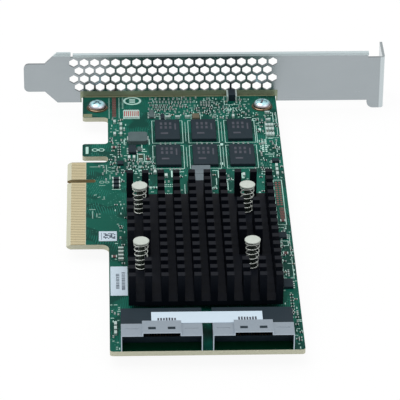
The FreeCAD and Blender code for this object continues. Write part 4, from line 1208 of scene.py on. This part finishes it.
def makeLatchWindowShade():
    form = latchWindowShade
    y = boardLow.y / mm + form["setback"]
    shadeSheets = []
    for side in ("left", "right"):
        first = boxMiddle("socket_shell_" + side)[0].x - form["spacing"] / 2
        shadeSheets += addGrid(first, y, *form["size"], 2, 1, (form["spacing"], 0))
    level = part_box("socket_shell_left")[1].z - form["depth"]
    printMarks("latchWindowShade", shadeSheets, level, "socket_black", "socket_black")


makeChipRows()
screwPlaces = makeScrews()
for corner in ("far_left", "far_right", "near_left", "near_right"):
    makePin(corner)
    makeSpring(corner)
print("push pins and springs made")
makeHeatSink()
makePadEnd()
makeLatchWindowShade()
makeSilkscreen()
strewParts()
makeChipMarks()
makeLabelPrint()


# floor, light and camera

studio = {
    "floorSize": 6.0,
    "floorTone": (0.92, 0.92, 0.92),
    "floorGlow": 0.93,
    "skyTop": (1.0, 1.0, 1.0),
    "skySides": (0.22, 0.22, 0.22),
    "keyPower": 6.5,
    "keySize": 0.9,
    "keyPlace": (-0.35, 0.10, 1.15),
    "fillPower": 1.2,
    "fillPlace": (0.75, -0.55, 0.85),
    "litPlace": (40 * mm, -15 * mm, 0),
}


def makeSky(tree, colourInput):
    # brighter overhead than round the sides, and plain white where the camera sees it
    height = splitPoint(tree, tree.nodes.new("ShaderNodeTexCoord").outputs["Generated"])[2]
    level = mathNode(tree, "MULTIPLY", height, 1.0, clamp=True)
    sky = mixColour(tree, level, rgba(studio["skySides"]), rgba(studio["skyTop"]))
    path = tree.nodes.new("ShaderNodeLightPath")
    seen = mathNode(tree, "MAXIMUM", path.outputs["Is Camera Ray"], path.outputs["Is Transmission Ray"])
    wire(tree, mixColour(tree, seen, sky, (1, 1, 1, 1)), colourInput)


def addAreaLight(name, place, size, power):
    light = bpy.data.lights.new(name, "AREA")
    light.energy = power
    light.size = size
    lamp = bpy.data.objects.new(name, light)
    bpy.context.collection.objects.link(lamp)
    lamp.location = place
    lamp.rotation_euler = (Vector(studio["litPlace"]) - lamp.location).to_track_quat("-Z", "Y").to_euler()


def makeStudio():
    lowest = cadBounds[0].z
    deselectAll()
    bpy.ops.mesh.primitive_plane_add(size=studio["floorSize"], location=(0, 0, lowest))
    floor = bpy.context.object
    floor.name = "studioFloor"
    material = bpy.data.materials.new("paleFloor")
    material.use_nodes = True
    tree = material.node_tree
    tree.nodes.remove(tree.nodes["Principled BSDF"])
    diffuse = tree.nodes.new("ShaderNodeBsdfDiffuse")
    diffuse.inputs["Color"].default_value = rgba(studio["floorTone"])
    glow = tree.nodes.new("ShaderNodeEmission")
    mix = tree.nodes.new("ShaderNodeMixShader")
    path = tree.nodes.new("ShaderNodeLightPath")
    seen = mathNode(tree, "MAXIMUM", path.outputs["Is Camera Ray"], path.outputs["Is Glossy Ray"])
    glowing = times(tree, seen, studio["floorGlow"])
    for source, socket in zip((glowing, diffuse.outputs[0], glow.outputs[0]), mix.inputs):
        wire(tree, source, socket)
    wire(tree, mix.outputs[0], tree.nodes["Material Output"].inputs[0])
    paint(floor, material)

    world = bpy.data.worlds.new("softSky")
    bpy.context.scene.world = world
    world.use_nodes = True
    background = world.node_tree.nodes["Background"]
    makeSky(world.node_tree, background.inputs["Color"])
    background.inputs["Strength"].default_value = 1.0
    addAreaLight("keyLight", studio["keyPlace"], studio["keySize"], studio["keyPower"])
    addAreaLight("fillLight", studio["fillPlace"], studio["keySize"], studio["fillPower"])


view = {
    "target": (41.49 * mm, -12.6 * mm, 0.785 * mm),
    "distance": 0.869,
    "azimuth": math.radians(2.142),
    "elevation": math.radians(30.02),
    "roll": math.radians(0.505),
    "lens": 250.56,
    "sensor": 36.0,
    "clip": (0.05, 20.0),
}


def makeCamera():
    camera = bpy.data.cameras.new("camera")
    camera.lens = view["lens"]
    camera.sensor_width = view["sensor"]
    camera.clip_start, camera.clip_end = view["clip"]
    holder = bpy.data.objects.new("camera", camera)
    bpy.context.collection.objects.link(holder)
    azimuth, elevation = view["azimuth"], view["elevation"]
    level = math.cos(elevation)
    back = Vector((-math.sin(azimuth) * level, -math.cos(azimuth) * level, math.sin(elevation)))
    tilt = Euler((math.pi / 2 - elevation, 0, -azimuth)).to_matrix()
    holder.rotation_euler = (tilt @ Matrix.Rotation(view["roll"], 3, "Z")).to_euler()
    holder.location = Vector(view["target"]) + back * view["distance"]
    bpy.context.scene.camera = holder


makeStudio()
makeCamera()
bpy.context.scene.view_settings.view_transform = "Standard"
print("studio and camera made")
